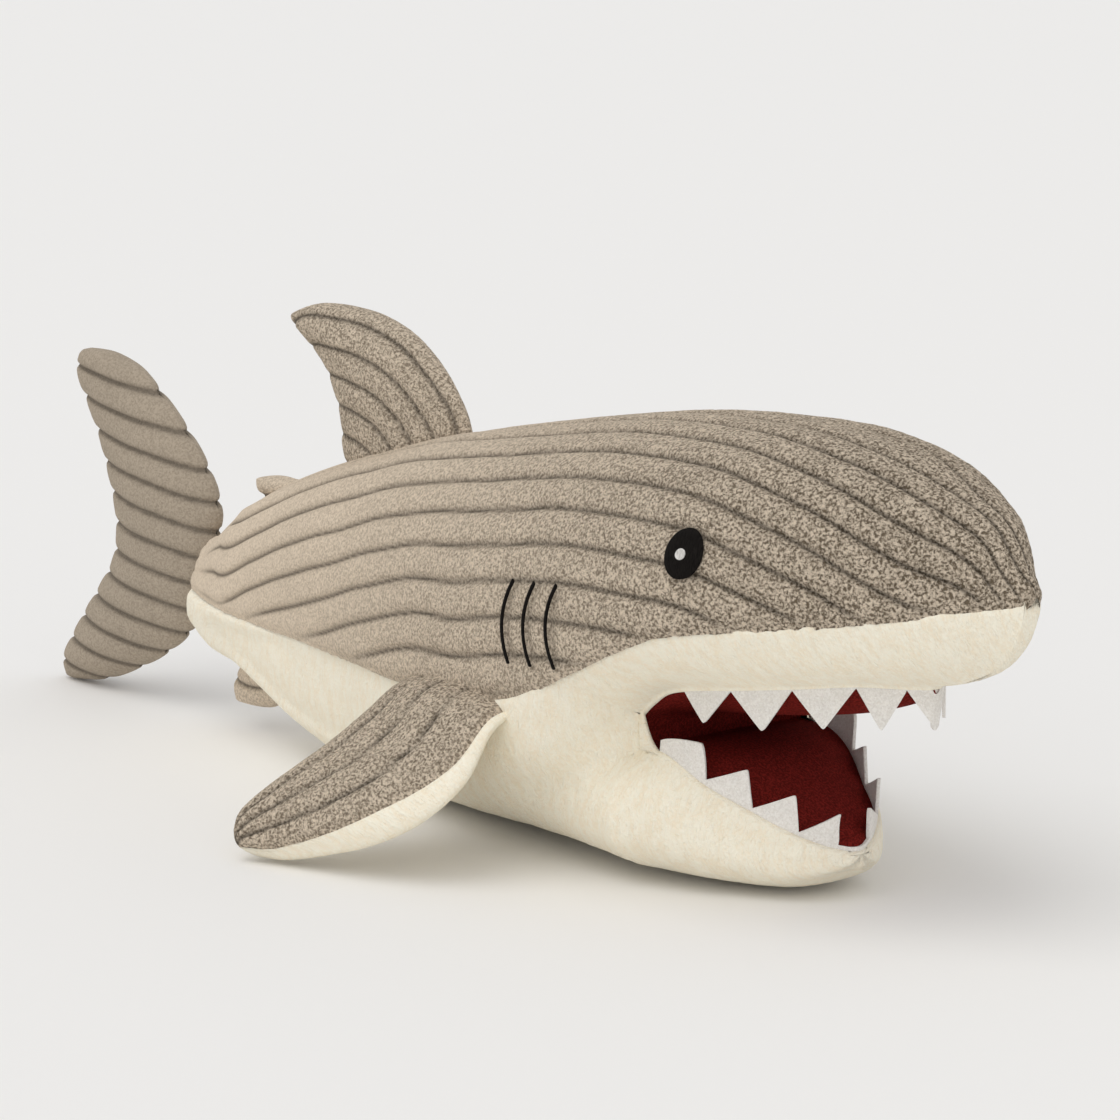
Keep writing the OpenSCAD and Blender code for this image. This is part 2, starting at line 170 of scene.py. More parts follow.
def weld(piece: bpy.types.Object) -> None:
    """Merges the doubled seam points and turns every face outwards."""
    mesh = bmesh.new()
    mesh.from_mesh(piece.data)
    bmesh.ops.remove_doubles(mesh, verts=mesh.verts, dist=0.02 * MM)
    bmesh.ops.recalc_face_normals(mesh, faces=mesh.faces)
    mesh.to_mesh(piece.data)
    mesh.free()
    piece.data.shade_smooth()


def face_towards(piece: bpy.types.Object, normal: Array) -> None:
    """Turns an open piece's faces to the side that normal points to."""
    total = Vector((0, 0, 0))
    for polygon in piece.data.polygons:
        total += polygon.normal * polygon.area
    if total.dot(Vector(normal)) < 0:
        piece.data.flip_normals()


@dataclass
class Sheet:
    """A grid of points that becomes one mesh, with a mask of painted shade for the sewn channels and a cloth
    map.
    """

    name: str
    grid: Array
    painted_shade: Array | None = None
    pile: Array | float = 1.0
    across: Array | None = None
    along: Array | None = None
    wrap: bool = False
    cap_first: bool = False
    cap_last: bool = False
    flip: bool = False

    def build(self) -> bpy.types.Object:
        """Makes the mesh object.

        Returns:
            The new object, at the origin, with smooth faces, a "cloth" map and an attribute that holds the
            painted shade of the sewn channels.
        """
        m, n = self.grid.shape[:2]
        columns = n if self.wrap else n - 1
        i, j = np.meshgrid(np.arange(m - 1), np.arange(columns), indexing="ij")
        k = (j + 1) % n
        quads = np.stack([i * n + j, (i + 1) * n + j, (i + 1) * n + k, i * n + k], -1).reshape(-1, 4)
        faces = quads.tolist()
        if self.cap_first:
            faces.append(list(range(n)))
        if self.cap_last:
            faces.append([(m - 1) * n + q for q in reversed(range(n))])
        if self.flip:
            faces = [f[::-1] for f in faces]
        mesh = bpy.data.meshes.new(self.name)
        mesh.from_pydata(self.grid.reshape(-1, 3).tolist(), [], faces)
        along = arc_along(self.grid, 0) if self.along is None else self.along
        across = arc_along(self.grid, 1) if self.across is None else self.across
        uv = mesh.uv_layers.new(name="cloth")
        corner = np.empty(len(mesh.loops), np.int32)
        mesh.loops.foreach_get("vertex_index", corner)
        flat = np.stack([along.reshape(-1), across.reshape(-1)], -1)[corner]
        uv.data.foreach_set("uv", flat.astype(np.float32).reshape(-1))
        # The first attribute is the painted shade of the sewn channels.
        for label, mask in (("painted_shade", 0.0 if self.painted_shade is None else self.painted_shade), ("pile", self.pile)):
            values = np.broadcast_to(np.asarray(mask, np.float32), (m, n)).reshape(-1)
            mesh.attributes.new(label, "FLOAT", "POINT").data.foreach_set("value", values.copy())
        mesh.shade_smooth()
        mesh.validate()
        mesh.update()
        return place(self.name, mesh)


def join(name: str, parts: Sequence[bpy.types.Object]) -> bpy.types.Object:
    """Joins mesh objects into one named object."""
    with bpy.context.temp_override(active_object=parts[0], selected_editable_objects=list(parts),
                                   selected_objects=list(parts), object=parts[0]):
        bpy.ops.object.join()
    parts[0].name = name
    parts[0].data.name = name
    return parts[0]


def mirror(obj: bpy.types.Object) -> None:
    """Moves obj's mesh to the other side of the toy, with its faces turned outwards again."""
    co = np.empty(len(obj.data.vertices) * 3, np.float32)
    obj.data.vertices.foreach_get("co", co)
    co[1::3] *= -1
    obj.data.vertices.foreach_set("co", co)
    obj.data.flip_normals()


# ---------------------------------------------------------------- swelling by cloth simulation

@dataclass(frozen=True)
class Filling:
    """How firmly a sewn cover is stuffed."""

    pressure: float = 4.0
    cap: float = 3.0 * MM
    frames: int = 20
    rows: int = 40
    columns: int = 41

    def swell(self, cover: Array, sewn: int = 1) -> Array:
        """Blows the cover up from inside with its rim held, by cloth simulation.

        Args:
            cover: the fine grid of the cover in millimetres, whose normals point outwards.
            sewn: how many lines of points are sewn down along every edge.

        Returns:
            The fine grid in millimetres, moved by the simulated swelling by no more than the cap.
        """
        grid = cover * MM
        pinned = np.ones(grid.shape[:2], bool)
        pinned[sewn:-sewn, sewn:-sewn] = False
        m, n = grid.shape[:2]
        rows, cols = (np.unique(np.linspace(0, size - 1, min(most, size)).round().astype(int))
                      for most, size in ((self.rows, m), (self.columns, n)))
        coarse = grid[np.ix_(rows, cols)]
        blank = Sheet("blank", coarse).build()
        group = blank.vertex_groups.new(name="sewn")
        group.add([int(q) for q in np.flatnonzero(pinned[np.ix_(rows, cols)])], 1.0, "REPLACE")
        cloth = blank.modifiers.new("cloth", "CLOTH")
        settings = cloth.settings
        settings.vertex_group_mass = "sewn"
        settings.use_pressure = True
        settings.uniform_pressure_force = self.pressure
        settings.effector_weights.gravity = 0.0
        settings.quality = 5
        settings.tension_stiffness = settings.compression_stiffness = 40
        settings.shear_stiffness = 20
        settings.bending_stiffness = 5
        cloth.point_cache.frame_start, cloth.point_cache.frame_end = 1, self.frames
        scene = bpy.context.scene
        for step in range(1, self.frames + 1):
            scene.frame_set(step)
        result = blank.evaluated_get(bpy.context.evaluated_depsgraph_get()).to_mesh()
        moved = np.empty(len(result.vertices) * 3, np.float32)
        result.vertices.foreach_get("co", moved)
        bpy.data.objects.remove(blank)
        scene.frame_set(1)
        shift = moved.reshape(coarse.shape) - coarse
        size = np.linalg.norm(shift, axis=-1, keepdims=True)
        shift = np.nan_to_num(shift * np.minimum(1, self.cap / np.maximum(size, 1e-9)))
        fine = np.einsum("ia,abk,jb->ijk", self._weights(rows, m), shift, self._weights(cols, n))
        return (grid + fine) / MM

    @staticmethod
    def _weights(stations: Array, count: int) -> Array:
        """Smooth interpolation weights from coarse stations to every line of the fine grid."""
        weights = np.zeros((count, len(stations)))
        for column in range(len(stations)):
            unit = np.zeros(len(stations))
            unit[column] = 1.0
            weights[:, column] = Profile(tuple(stations.astype(float)), tuple(unit))(np.arange(count))
        return weights


# ---------------------------------------------------------------- finishes

class Nodes:
    """Short helpers to wire a shader tree."""

    def __init__(self, tree: bpy.types.NodeTree) -> None:
        """Keeps the tree."""
        self.tree = tree

    def add(self, kind: str, **settings: object) -> bpy.types.Node:
        """Adds a node.

        Args:
            kind: the node's type name.
            settings: node properties, or input values by socket name with spaces as underscores.

        Returns:
            The new node.
        """
        node = self.tree.nodes.new(kind)
        for key, value in settings.items():
            name = key.replace("_", " ")
            if hasattr(node, key):
                setattr(node, key, value)
            elif name in node.inputs:
                self.feed(node.inputs[name], value)
        return node

    def feed(self, socket: bpy.types.NodeSocket, value: object) -> None:
        """Links a socket to another, or sets its value."""
        if isinstance(value, bpy.types.NodeSocket):
            self.tree.links.new(value, socket)
        else:
            socket.default_value = value

    def math(self, operation: str, a: object, b: object = 0.0, clamp: bool = False) -> bpy.types.NodeSocket:
        """One math node's result."""
        node = self.add("ShaderNodeMath", operation=operation, use_clamp=clamp)
        self.feed(node.inputs[0], a)
        self.feed(node.inputs[1], b)
        return node.outputs[0]

    def times(self, a: object, b: object) -> bpy.types.NodeSocket:
        """The product of two values."""
        return self.math("MULTIPLY", a, b)

    def sum(self, *terms: object) -> bpy.types.NodeSocket:
        """The sum of two or more values."""
        total = terms[0]
        for term in terms[1:]:
            total = self.math("ADD", total, term)
        return total

    def vector(self, operation: str, a: object, b: object) -> bpy.types.NodeSocket:
        """One vector math node's result; b is the factor where the operation is SCALE."""
        node = self.add("ShaderNodeVectorMath", operation=operation)
        self.feed(node.inputs[0], a)
        self.feed(node.inputs["Scale" if operation == "SCALE" else 1], b)
        return node.outputs[0]

    def mix(self, factor: object, a: object, b: object, blend: str = "MIX") -> bpy.types.NodeSocket:
        """One colour mix's result."""
        node = self.add("ShaderNodeMix", data_type="RGBA", blend_type=blend)
        for socket, value in ((0, factor), (6, a), (7, b)):
            self.feed(node.inputs[socket], value)
        return node.outputs[2]

    def ramp(self, factor: object, low: float, high: float) -> bpy.types.NodeSocket:
        """A smooth 0 to 1 mask of a value between low and high."""
        node = self.add("ShaderNodeMapRange", interpolation_type="SMOOTHSTEP", From_Min=low, From_Max=high)
        self.feed(node.inputs[0], factor)
        return node.outputs[0]


def linear(red: int, green: int, blue: int) -> tuple[float, float, float, float]:
    """A display colour from 0 to 255 as linear light."""
    def one(c: float) -> float:
        """One channel."""
        c /= 255
        return c / 12.92 if c <= 0.04045 else ((c + 0.055) / 1.055) ** 2.4
    return one(red), one(green), one(blue), 1.0


def new_group(name: str, inputs: dict[str, float], output: str) -> tuple[
        bpy.types.NodeTree, Nodes, dict[str, bpy.types.NodeSocket], bpy.types.NodeSocket]:
    """Starts a shader node group that turns a place on the cloth into one number.

    Args:
        name: the group's name.
        inputs: each number the group takes, with its starting value.
        output: name of the number it gives.

    Returns:
        The group, its wiring helper, its inputs by name and its output.
    """
    tree = bpy.data.node_groups.new(name, "ShaderNodeTree")
    tree.interface.new_socket(name="Vector", in_out="INPUT", socket_type="NodeSocketVector")
    for label, value in inputs.items():
        socket = tree.interface.new_socket(name=label, in_out="INPUT", socket_type="NodeSocketFloat")
        socket.default_value = value
    tree.interface.new_socket(name=output, in_out="OUTPUT", socket_type="NodeSocketFloat")
    given = tree.nodes.new("NodeGroupInput").outputs
    out = tree.nodes.new("NodeGroupOutput").inputs[0]
    return tree, Nodes(tree), {label: given[label] for label in ("Vector", *inputs)}, out


def nub_group() -> bpy.types.NodeTree:
    """Curly pile nubs: a height from 0 in the gaps to 1 on the nubs."""
    tree, n, given, out = new_group("curly_nubs", {"Density": 700.0, "Curl": 0.6 * MM}, "Height")
    bend = n.add("ShaderNodeTexNoise", Vector=given["Vector"], Scale=n.times(given["Density"], 0.7))
    centred = n.vector("SUBTRACT", bend.outputs["Color"], (0.5, 0.5, 0.5))
    moved = n.vector("ADD", given["Vector"], n.vector("SCALE", centred, given["Curl"]))
    cells = n.add("ShaderNodeTexVoronoi", feature="F1", Vector=moved, Scale=given["Density"])
    grain = n.add("ShaderNodeTexNoise", Vector=moved, Detail=2.0, Scale=n.times(given["Density"], 0.9))
    dome = n.math("SUBTRACT", 1.0, n.times(cells.outputs["Distance"], 1.15), clamp=True)
    worm = n.ramp(grain.outputs["Fac"], 0.34, 0.66)
    n.feed(out, n.sum(n.times(dome, 0.5), n.times(worm, 0.5)))
    return tree


def mottle_group() -> bpy.types.NodeTree:
    """Uneven dye and handling marks: a factor near 1 that varies slowly over the cloth."""
    tree, n, given, out = new_group("dye_mottle", {"Size": 25.0, "Depth": 0.12}, "Factor")
    large = n.add("ShaderNodeTexNoise", Vector=given["Vector"], Scale=given["Size"], Detail=3.0)
    centred = n.math("SUBTRACT", large.outputs["Fac"], 0.5)
    n.feed(out, n.sum(1.0, n.times(centred, given["Depth"])))
    return tree


def strand_group() -> bpy.types.NodeTree:
    """Fine strands that lie along the cloth map's first direction: a height from 0 to 1."""
    tree, n, given, out = new_group("lying_strands", {"Along": 180.0, "Across": 1400.0}, "Height")
    size = n.add("ShaderNodeCombineXYZ", X=given["Along"], Y=given["Across"], Z=1.0)
    stretched = n.vector("MULTIPLY", given["Vector"], size.outputs[0])
    hair = n.add("ShaderNodeTexNoise", Vector=stretched, Scale=1.0, Detail=3.0, Distortion=0.6)
    n.feed(out, n.ramp(hair.outputs["Fac"], 0.3, 0.7))
    return tree


GROUPS = {"curly_nubs": nub_group, "dye_mottle": mottle_group, "lying_strands": strand_group}
Socket = bpy.types.NodeSocket


@dataclass(frozen=True)
class Finish:
    """What every cloth finish shares: a name, its colours and how rough it is."""

    name: str
    slot: str
    light: tuple[float, float, float, float]
    dark: tuple[float, float, float, float]
    roughness: float = 0.9
    sheen: float = 0.2
    sheen_tint: tuple[float, float, float, float] = (1.0, 1.0, 1.0, 1.0)

    def weave(self, n: Nodes) -> tuple[Socket, Socket, Socket, float]:
        """Lays out the cloth.

        Args:
            n: the material's wiring helper.

        Returns:
            How light the cloth is from 0 to 1, a factor on its colour, its height from 0 to 1, and the
            depth in metres of that height.
        """
        raise NotImplementedError

    def make(self) -> bpy.types.Material:
        """The finished material."""
        material = bpy.data.materials.new(self.name)
        material.use_nodes = True
        shader = material.node_tree.nodes["Principled BSDF"]
        for label, value in (("Roughness", self.roughness), ("Sheen Weight", self.sheen),
                             ("Sheen Roughness", 0.5), ("Sheen Tint", self.sheen_tint),
                             ("Specular IOR Level", 0.03)):
            shader.inputs[label].default_value = value
        n = Nodes(material.node_tree)
        tone, factor, height, depth = self.weave(n)
        grey = n.add("ShaderNodeCombineColor", Red=factor, Green=factor, Blue=factor).outputs[0]
        n.feed(shader.inputs["Base Color"], n.mix(1.0, n.mix(tone, self.dark, self.light), grey, "MULTIPLY"))
        bump = n.add("ShaderNodeBump", Height=height, Strength=1.0, Distance=depth)
        n.feed(shader.inputs["Normal"], bump.outputs["Normal"])
        return material

    @staticmethod
    def group(n: Nodes, name: str, on_map: bool = False, **values: float) -> Socket:
        """One shared group's result, on Object coordinates or on the cloth map."""
        node = n.add("ShaderNodeGroup", node_tree=bpy.data.node_groups.get(name) or GROUPS[name]())
        where = Finish.cloth_map(n) if on_map else n.add("ShaderNodeTexCoord").outputs["Object"]
        for key, value in (("Vector", where), *values.items()):
            n.feed(node.inputs[key], value)
        return node.outputs[0]

    @staticmethod
    def cloth_map(n: Nodes) -> Socket:
        """The piece's own cloth map."""
        return n.add("ShaderNodeUVMap", uv_map="cloth").outputs["UV"]


@dataclass(frozen=True)
class CurlyPile(Finish):
    """Grey channelled fleece with small curly nubs, with painted shade between the curls and in the sewn
    channels.
    """

    density: float = 980.0
    depth: float = 1.5 * MM
    resting: float = 0.85

    def weave(self, n: Nodes) -> tuple[Socket, Socket, Socket, float]:
        """Nubs of two sizes, flattened where the pile attribute is low, with painted shade in the gaps and
        the channels.
        """
        nubs = self.group(n, "curly_nubs", Density=self.density, Curl=1.2 * MM)
        fine = self.group(n, "curly_nubs", Density=self.density * 2.3, Curl=0.5 * MM)
        mottle = self.group(n, "dye_mottle", Size=18.0, Depth=0.16)
        patches = self.group(n, "dye_mottle", Size=90.0, Depth=0.08)
        painted_shade, pile = (n.add("ShaderNodeAttribute", attribute_name=name).outputs["Fac"]
                        for name in ("painted_shade", "pile"))
        curls = n.sum(n.times(nubs, 0.75), n.times(fine, 0.25))
        flat = n.times(n.math("SUBTRACT", 1.0, pile), self.resting)
        # Painted shade between the curls: the colour falls to the dark grey in the gaps between nubs.
        tone = n.sum(n.times(n.ramp(curls, 0.12, 0.72), pile), flat)
        # Painted shade in the sewn channels: the channel mask darkens the colour, on top of the random dye
        # mottle.
        mottle_and_shade = n.times(n.times(mottle, patches), n.math("SUBTRACT", 1.0, n.times(painted_shade, 0.70)))
        return tone, mottle_and_shade, n.times(curls, pile), self.depth


@dataclass(frozen=True)
class ShortPile(Finish):
    """Cream velvet-like pile, brushed in soft streaks."""

    depth: float = 0.55 * MM

    def weave(self, n: Nodes) -> tuple[Socket, Socket, Socket, float]:
        """Short strands and tufts, brushed one way."""
        strands = self.group(n, "lying_strands", on_map=True, Along=1300.0, Across=420.0)
        brushed = self.group(n, "lying_strands", on_map=True, Along=260.0, Across=95.0)
        tufts = self.group(n, "curly_nubs", Density=1150.0, Curl=1.6 * MM)
        height = n.sum(n.times(strands, 0.35), n.times(tufts, 0.45), n.times(brushed, 0.45))
        mottle = self.group(n, "dye_mottle", Size=22.0, Depth=0.07)
        return n.ramp(height, 0.05, 0.95), mottle, height, self.depth


@dataclass(frozen=True)
class Jersey(Finish):
    """Brushed red jersey with a fine knit."""

    wale: float = 0.9 * MM

    def weave(self, n: Nodes) -> tuple[Socket, Socket, Socket, float]:
        """A fine knit under a brushed fuzz."""
        knit = n.add("ShaderNodeTexWave", wave_type="BANDS", bands_direction="Y", Vector=self.cloth_map(n),
                     Scale=0.5 / self.wale / math.pi, Distortion=1.2, Detail=1.0)
        fuzz = self.group(n, "curly_nubs", Density=1500.0, Curl=0.6 * MM)
        height = n.sum(n.times(knit.outputs["Fac"], 0.10), n.times(fuzz, 0.90))
        return n.ramp(height, 0.2, 0.8), self.group(n, "dye_mottle", Size=45.0, Depth=0.25), height, 0.22 * MM


@dataclass(frozen=True)
class Felt(Finish):
    """Pressed felt: short fibres in every direction."""

    def weave(self, n: Nodes) -> tuple[Socket, Socket, Socket, float]:
        """A low fuzz."""
        fuzz = self.group(n, "curly_nubs", Density=1300.0, Curl=1.4 * MM)
        return fuzz, self.group(n, "dye_mottle", Size=220.0, Depth=0.16), fuzz, 0.25 * MM


@dataclass(frozen=True)
class Thread(Finish):
    """Satin embroidery thread."""

    def weave(self, n: Nodes) -> tuple[Socket, Socket, Socket, float]:
        """Fine twisted strands."""
        twist = self.group(n, "lying_strands", on_map=True, Along=500.0, Across=5200.0)
        return twist, self.group(n, "dye_mottle", Size=300.0, Depth=0.3), twist, 0.12 * MM


class Cloth(Enum):
    """The toy's finishes."""

    # The grey's dark colour is painted shade, for the gaps between the curls.
    GREY = CurlyPile("grey_curly_pile", "grey_pile", linear(230, 213, 191), linear(112, 99, 82), sheen=0.12,
                     sheen_tint=linear(235, 225, 210))
    CREAM = ShortPile("cream_short_pile", "cream_pile", linear(255, 249, 231), linear(251, 238, 213),
                      sheen=0.15, sheen_tint=linear(255, 250, 235))
    RED = Jersey("brushed_red_jersey", "red_jersey", linear(128, 38, 33), linear(88, 24, 20), sheen=0.0)
    FELT = Felt("pressed_white_felt", "white_felt", linear(247, 244, 239), linear(226, 221, 214), sheen=0.05)
    BLACK = Thread("black_satin_thread", "black_thread", linear(34, 31, 29), linear(16, 14, 13),
                   roughness=0.55, sheen=0.0)
    PALE = Thread("pale_satin_thread", "pale_thread", linear(238, 236, 231), linear(196, 193, 188),
                  roughness=0.6, sheen=0.0)

    def dress(self, obj: bpy.types.Object) -> None:
        """Gives obj this finish as its only material."""
        material = bpy.data.materials.get(self.value.name) or self.value.make()
        obj.data.materials.clear()
        obj.data.materials.append(material)


# ---------------------------------------------------------------- the toy's shape, in millimetres

def columns(*rows: Sequence[float]) -> list[Profile]:
    """Profiles of every column of a station table against its first column."""
    table = np.array(rows, float)
    at = tuple(table[:, 0])
    return [Profile(at, tuple(table[:, c])) for c in range(1, table.shape[1])]


@dataclass(frozen=True)
class Torso:
    """The stuffed body: its section at every station from the tail seam to the nose."""

    ridge: Profile
    seam: Profile
    half: Profile
    belly: Profile
    tail_end: float = -177.0
    nose: float = 300.0
    corner: float = 150.5
    roundness: float = 0.85
    lean_from: float = -140.0

    def point(self, x: Array, angle: Array) -> Array:
        """Surface point.

        Args:
            x: station.
            angle: degrees round the section, -90 at the belly, 0 at the right seam, 90 at the ridge.

        Returns:
            The point in millimetres, with angles past the ridge or the belly on the left side.
        """
        x, angle = np.broadcast_arrays(np.asarray(x, float), np.asarray(angle, float))
        turn = np.radians(angle)
        up, out = np.sin(turn), np.cos(turn)
        zs, zt, zb = self.seam(x), self.ridge(x), self.belly(x)
        z = zs + np.where(up > 0, zt - zs, zs - zb) * soft(up, self.roundness)
        run = np.minimum(1, (self.lean_from - x) / (self.lean_from - self.tail_end))
        lean = np.where(x > self.lean_from, 0.0, 0.375 * (z - 60) * run)
        return np.stack([x + lean, -self.half(x) * soft(out, self.roundness), np.maximum(z, 0)], -1)

    def flank(self, x: Array, z: Array) -> Array:
        """Half width at station x and height z, above the seam."""
        zs, zt = self.seam(x), self.ridge(x)
        up = np.minimum(1, np.abs((z - zs) / (zt - zs))) ** (1 / self.roundness)
        return self.half(x) * np.sqrt(np.maximum(0, 1 - up**2)) ** self.roundness


TORSO = Torso(*columns(
    (-177, 84, 60, 14, 40), (-160, 93, 59, 20, 32), (-137, 103, 58, 26, 27), (-116, 112, 58, 30, 19),
    (-87, 122, 59, 37, 11), (-60, 130, 60, 43, 4), (-33, 137, 60, 48, -0.5), (0, 145, 60, 55, -1),
    (33, 151, 60, 62, 0.5), (80, 159, 63, 71, 2.2), (120, 165, 70, 75, 3), (150, 168, 84, 75, 1.5),
    (185, 169, 101, 71, -2), (207, 168.5, 106, 65, 0), (241, 164, 111, 49, 0), (270, 154, 116, 33, 0),
    (288, 145, 119, 17.5, 0), (300, 129, 121, 4, 0)))
LIP_HALF, LIP_HIGH = columns(
    (150, 42, 62), (155, 42, 66.5), (164, 42, 72.5), (178, 42, 76), (195, 40, 78.5), (220, 33, 82),
    (240, 22, 84.5), (252, 10, 84), (257, 2, 83.5))
PALATE_LOW = columns((150, 58), (186, 63), (225, 69), (250, 77), (257, 81))[0]
JAW_HALF, JAW_WIDE, GUM_HALF, GUM_HIGH, TONGUE_HIGH, CHIN = columns(
    (150, 57, 28, 42, 49, 50, 1.5), (164, 51, 27, 42, 48, 51.5, 0.8), (183, 44.5, 22, 40, 39, 48, 0.8),
    (200, 36, 18, 33, 31, 38, 2), (212, 26.5, 15, 25, 25, 29, 5), (220, 15.5, 14, 14, 20, 22.5, 9.5),
    (224, 7, 15, 5, 17.5, 19, 12))
CHANNEL_START, CHANNEL_PITCH = columns(
    (-170, -26, 10), (-140, -17, 12), (-110, -14, 12.3), (-60, -16, 13.8), (0, -13, 14), (40, -6, 13.4),
    (75, -3, 13.9), (120, 0.4, 13.9), (160, 4.4, 13.8), (200, 8.3, 13.3), (240, 9.8, 12.6),
    (270, 4.8, 12.7), (290, 3.7, 9.6))


LIP_FRONT = 257.0
GUM_FRONT = 223.8
LIP_BULGE = 0.16
NOSE_FULLNESS = 8.5
JAW_DRAWN_BACK = 3.5
JAW_DRAWN_IN = 0.10
JAW_DRAWN_FROM, JAW_DRAWN_TO = 165, 202
CHANNEL_CROWN = 0.6
CHANNEL_WIDTH = 1.3
CHANNEL_MEAN = 0.72


def even(curve: Array, count: int) -> Array:
    """Resamples every row of points to count points evenly spaced along it."""
    length = arc_along(curve, 1)
    out = np.empty((curve.shape[0], count, 3))
    for i, row in enumerate(curve):
        target = np.linspace(0, length[i, -1], count)
        for c in range(3):
            out[i, :, c] = np.interp(target, length[i], row[:, c])
    return out


def jaw_half_section(x: Array, steps: int = 60) -> Array:
    """Right half of the jaw's section at each station, from the gum line round to the chin line."""
    x = np.asarray(x, float)[:, None]
    turn = np.radians(np.linspace(90, -90, steps))[None, :]
    w, zm, yg, zg, zb = JAW_HALF(x), JAW_WIDE(x), GUM_HALF(x), GUM_HIGH(x), CHIN(x)
    top = np.arccos(np.minimum(0.98, yg / w))
    above = turn > 0
    t = np.where(above, turn / (math.pi / 2) * top, turn)
    y = w * np.where(above, np.cos(t), soft(np.cos(np.minimum(t, 0)), 0.8))
    z = np.where(above, zm + (zg - zm) * np.sin(t) / np.sin(top), zm + (zm - zb) * soft(np.sin(t), 0.8))
    return np.stack([np.broadcast_to(x, y.shape), -y, np.maximum(z, 0)], -1)


def lip_surface(s: Array, u: Array) -> Array:
    """Point of the upper lip band: s runs from the right corner to the left, u from the lip to the seam."""
    s, u = np.broadcast_arrays(s, u)
    side, q = np.where(s < 0.5, -1, 1), 1 - np.abs(2 * s - 1)
    reach = np.sin(math.pi / 2 * q)
    xl, xs = (TORSO.corner + (end - TORSO.corner) * reach for end in (LIP_FRONT, TORSO.nose))
    yl, zl, ys, zs = LIP_HALF(xl), LIP_HIGH(xl), TORSO.half(xs), TORSO.seam(xs) - 0.8
    bulge = LIP_BULGE * np.sin(math.pi * u) * (zs - zl) * (1 - 0.5 * q)
    full = NOSE_FULLNESS * np.sin(math.pi * u) ** 0.9 * q**1.5
    x = xl + (xs - xl) * u + bulge * 0.8 * q + 0.8 * full
    y = np.maximum(0, yl + (ys - yl) * u + (bulge + 0.45 * full) * (1 - q))
    return np.stack([x, side * y, zl + (zs - zl) * u - bulge * 0.6 - 0.55 * full], -1)


def channel_relief(gap: Array, pitch: Array, depth: float = 1.15) -> tuple[Array, Array]:
    """Relief of a channelled cloth.

    Args:
        gap: distance from the nearest channel in millimetres.
        pitch: distance between channels there.
        depth: how far the channel is pulled in.

    Returns:
        The height over the mean surface in millimetres, and a mask from 0 to 1 of the painted shade in and
        beside the channel.
    """
    crown = CHANNEL_CROWN * np.sin(math.pi * np.minimum(gap / pitch, 1))
    rise = depth * (1 - np.exp(-((gap / CHANNEL_WIDTH) ** 2))) + crown
    # Painted shade: this mask darkens the cloth's colour in and beside the channel.
    mask = 0.9 * np.exp(-((gap / 0.8) ** 2)) + 0.14 * np.exp(-((gap / 2.2) ** 2))
    return rise - CHANNEL_MEAN * (depth + CHANNEL_CROWN), mask


def gill_curve(k: int, side: float, lift: float) -> Array:
    """Points of gill line k in millimetres, on the right for side -1 and on the left for side 1."""
    t = np.linspace(-1, 1, 60)
    x = 110.5 + 13.2 * k + 4.5 * t**2 + 1.1 * (1 - t)
    z = 94.5 + k + 14.5 * t
    return np.stack([x, side * (TORSO.flank(x, z) + lift), z], -1)


def gill_press(grid: Array) -> Array:
    """How far each point of the cover is drawn in by the gill stitches, from 0 to 1."""
    out = np.zeros(grid.shape[:2])
    near = (grid[..., 0] > 100) & (grid[..., 0] < 155) & (grid[..., 2] > 70) & (grid[..., 2] < 122)
    points = grid[near][:, [0, 2]]
    for k in range(3):
        line = gill_curve(k, 1.0, 0.0)[:, [0, 2]]
        away = np.linalg.norm(points[:, None] - line[None], axis=-1).min(axis=1)
        out[near] = np.maximum(out[near], np.exp(-((away / 2.2) ** 2)))
    return out


def pile_lumps(points: Array, amount: float, seed: float) -> Array:
    """Uneven pile height in millimetres at points in millimetres."""
    spots = points * MM
    return amount * (0.55 * wobble(spots, 2.4 * MM, seed) + 0.8 * wobble(spots, 14 * MM, seed + 7))


# ---------------------------------------------------------------- sub-assemblies


@dataclass
class Assembly:
    """A group of sewn pieces."""

    filling: Filling = field(default_factory=Filling)

    def settle(self, piece: bpy.types.Object, cloth: Cloth, body: str, stands_for: Sequence[str],
               bend: str = "", fill: float | None = None) -> None:
        """Dresses a piece, hangs it on its body unless it has a bend, and hides the CAD nodes it stands for.

        Args:
            piece: the finished mesh object.
            cloth: its finish.
            body: the body it rides on.
            stands_for: the CAD nodes it is shown in place of.
            bend: a second body, for a piece that crosses a joint; when given, the piece keeps its place with
                its transform baked in and is not hung on body, and this name goes to the log.
            fill: not used.
        """
        cloth.dress(piece)
        if bend:
            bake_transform(piece)
        else:
            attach(piece, body)
        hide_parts(*stands_for)
        log.info("%s: %d faces on %s", piece.name, len(piece.data.polygons), bend or body)


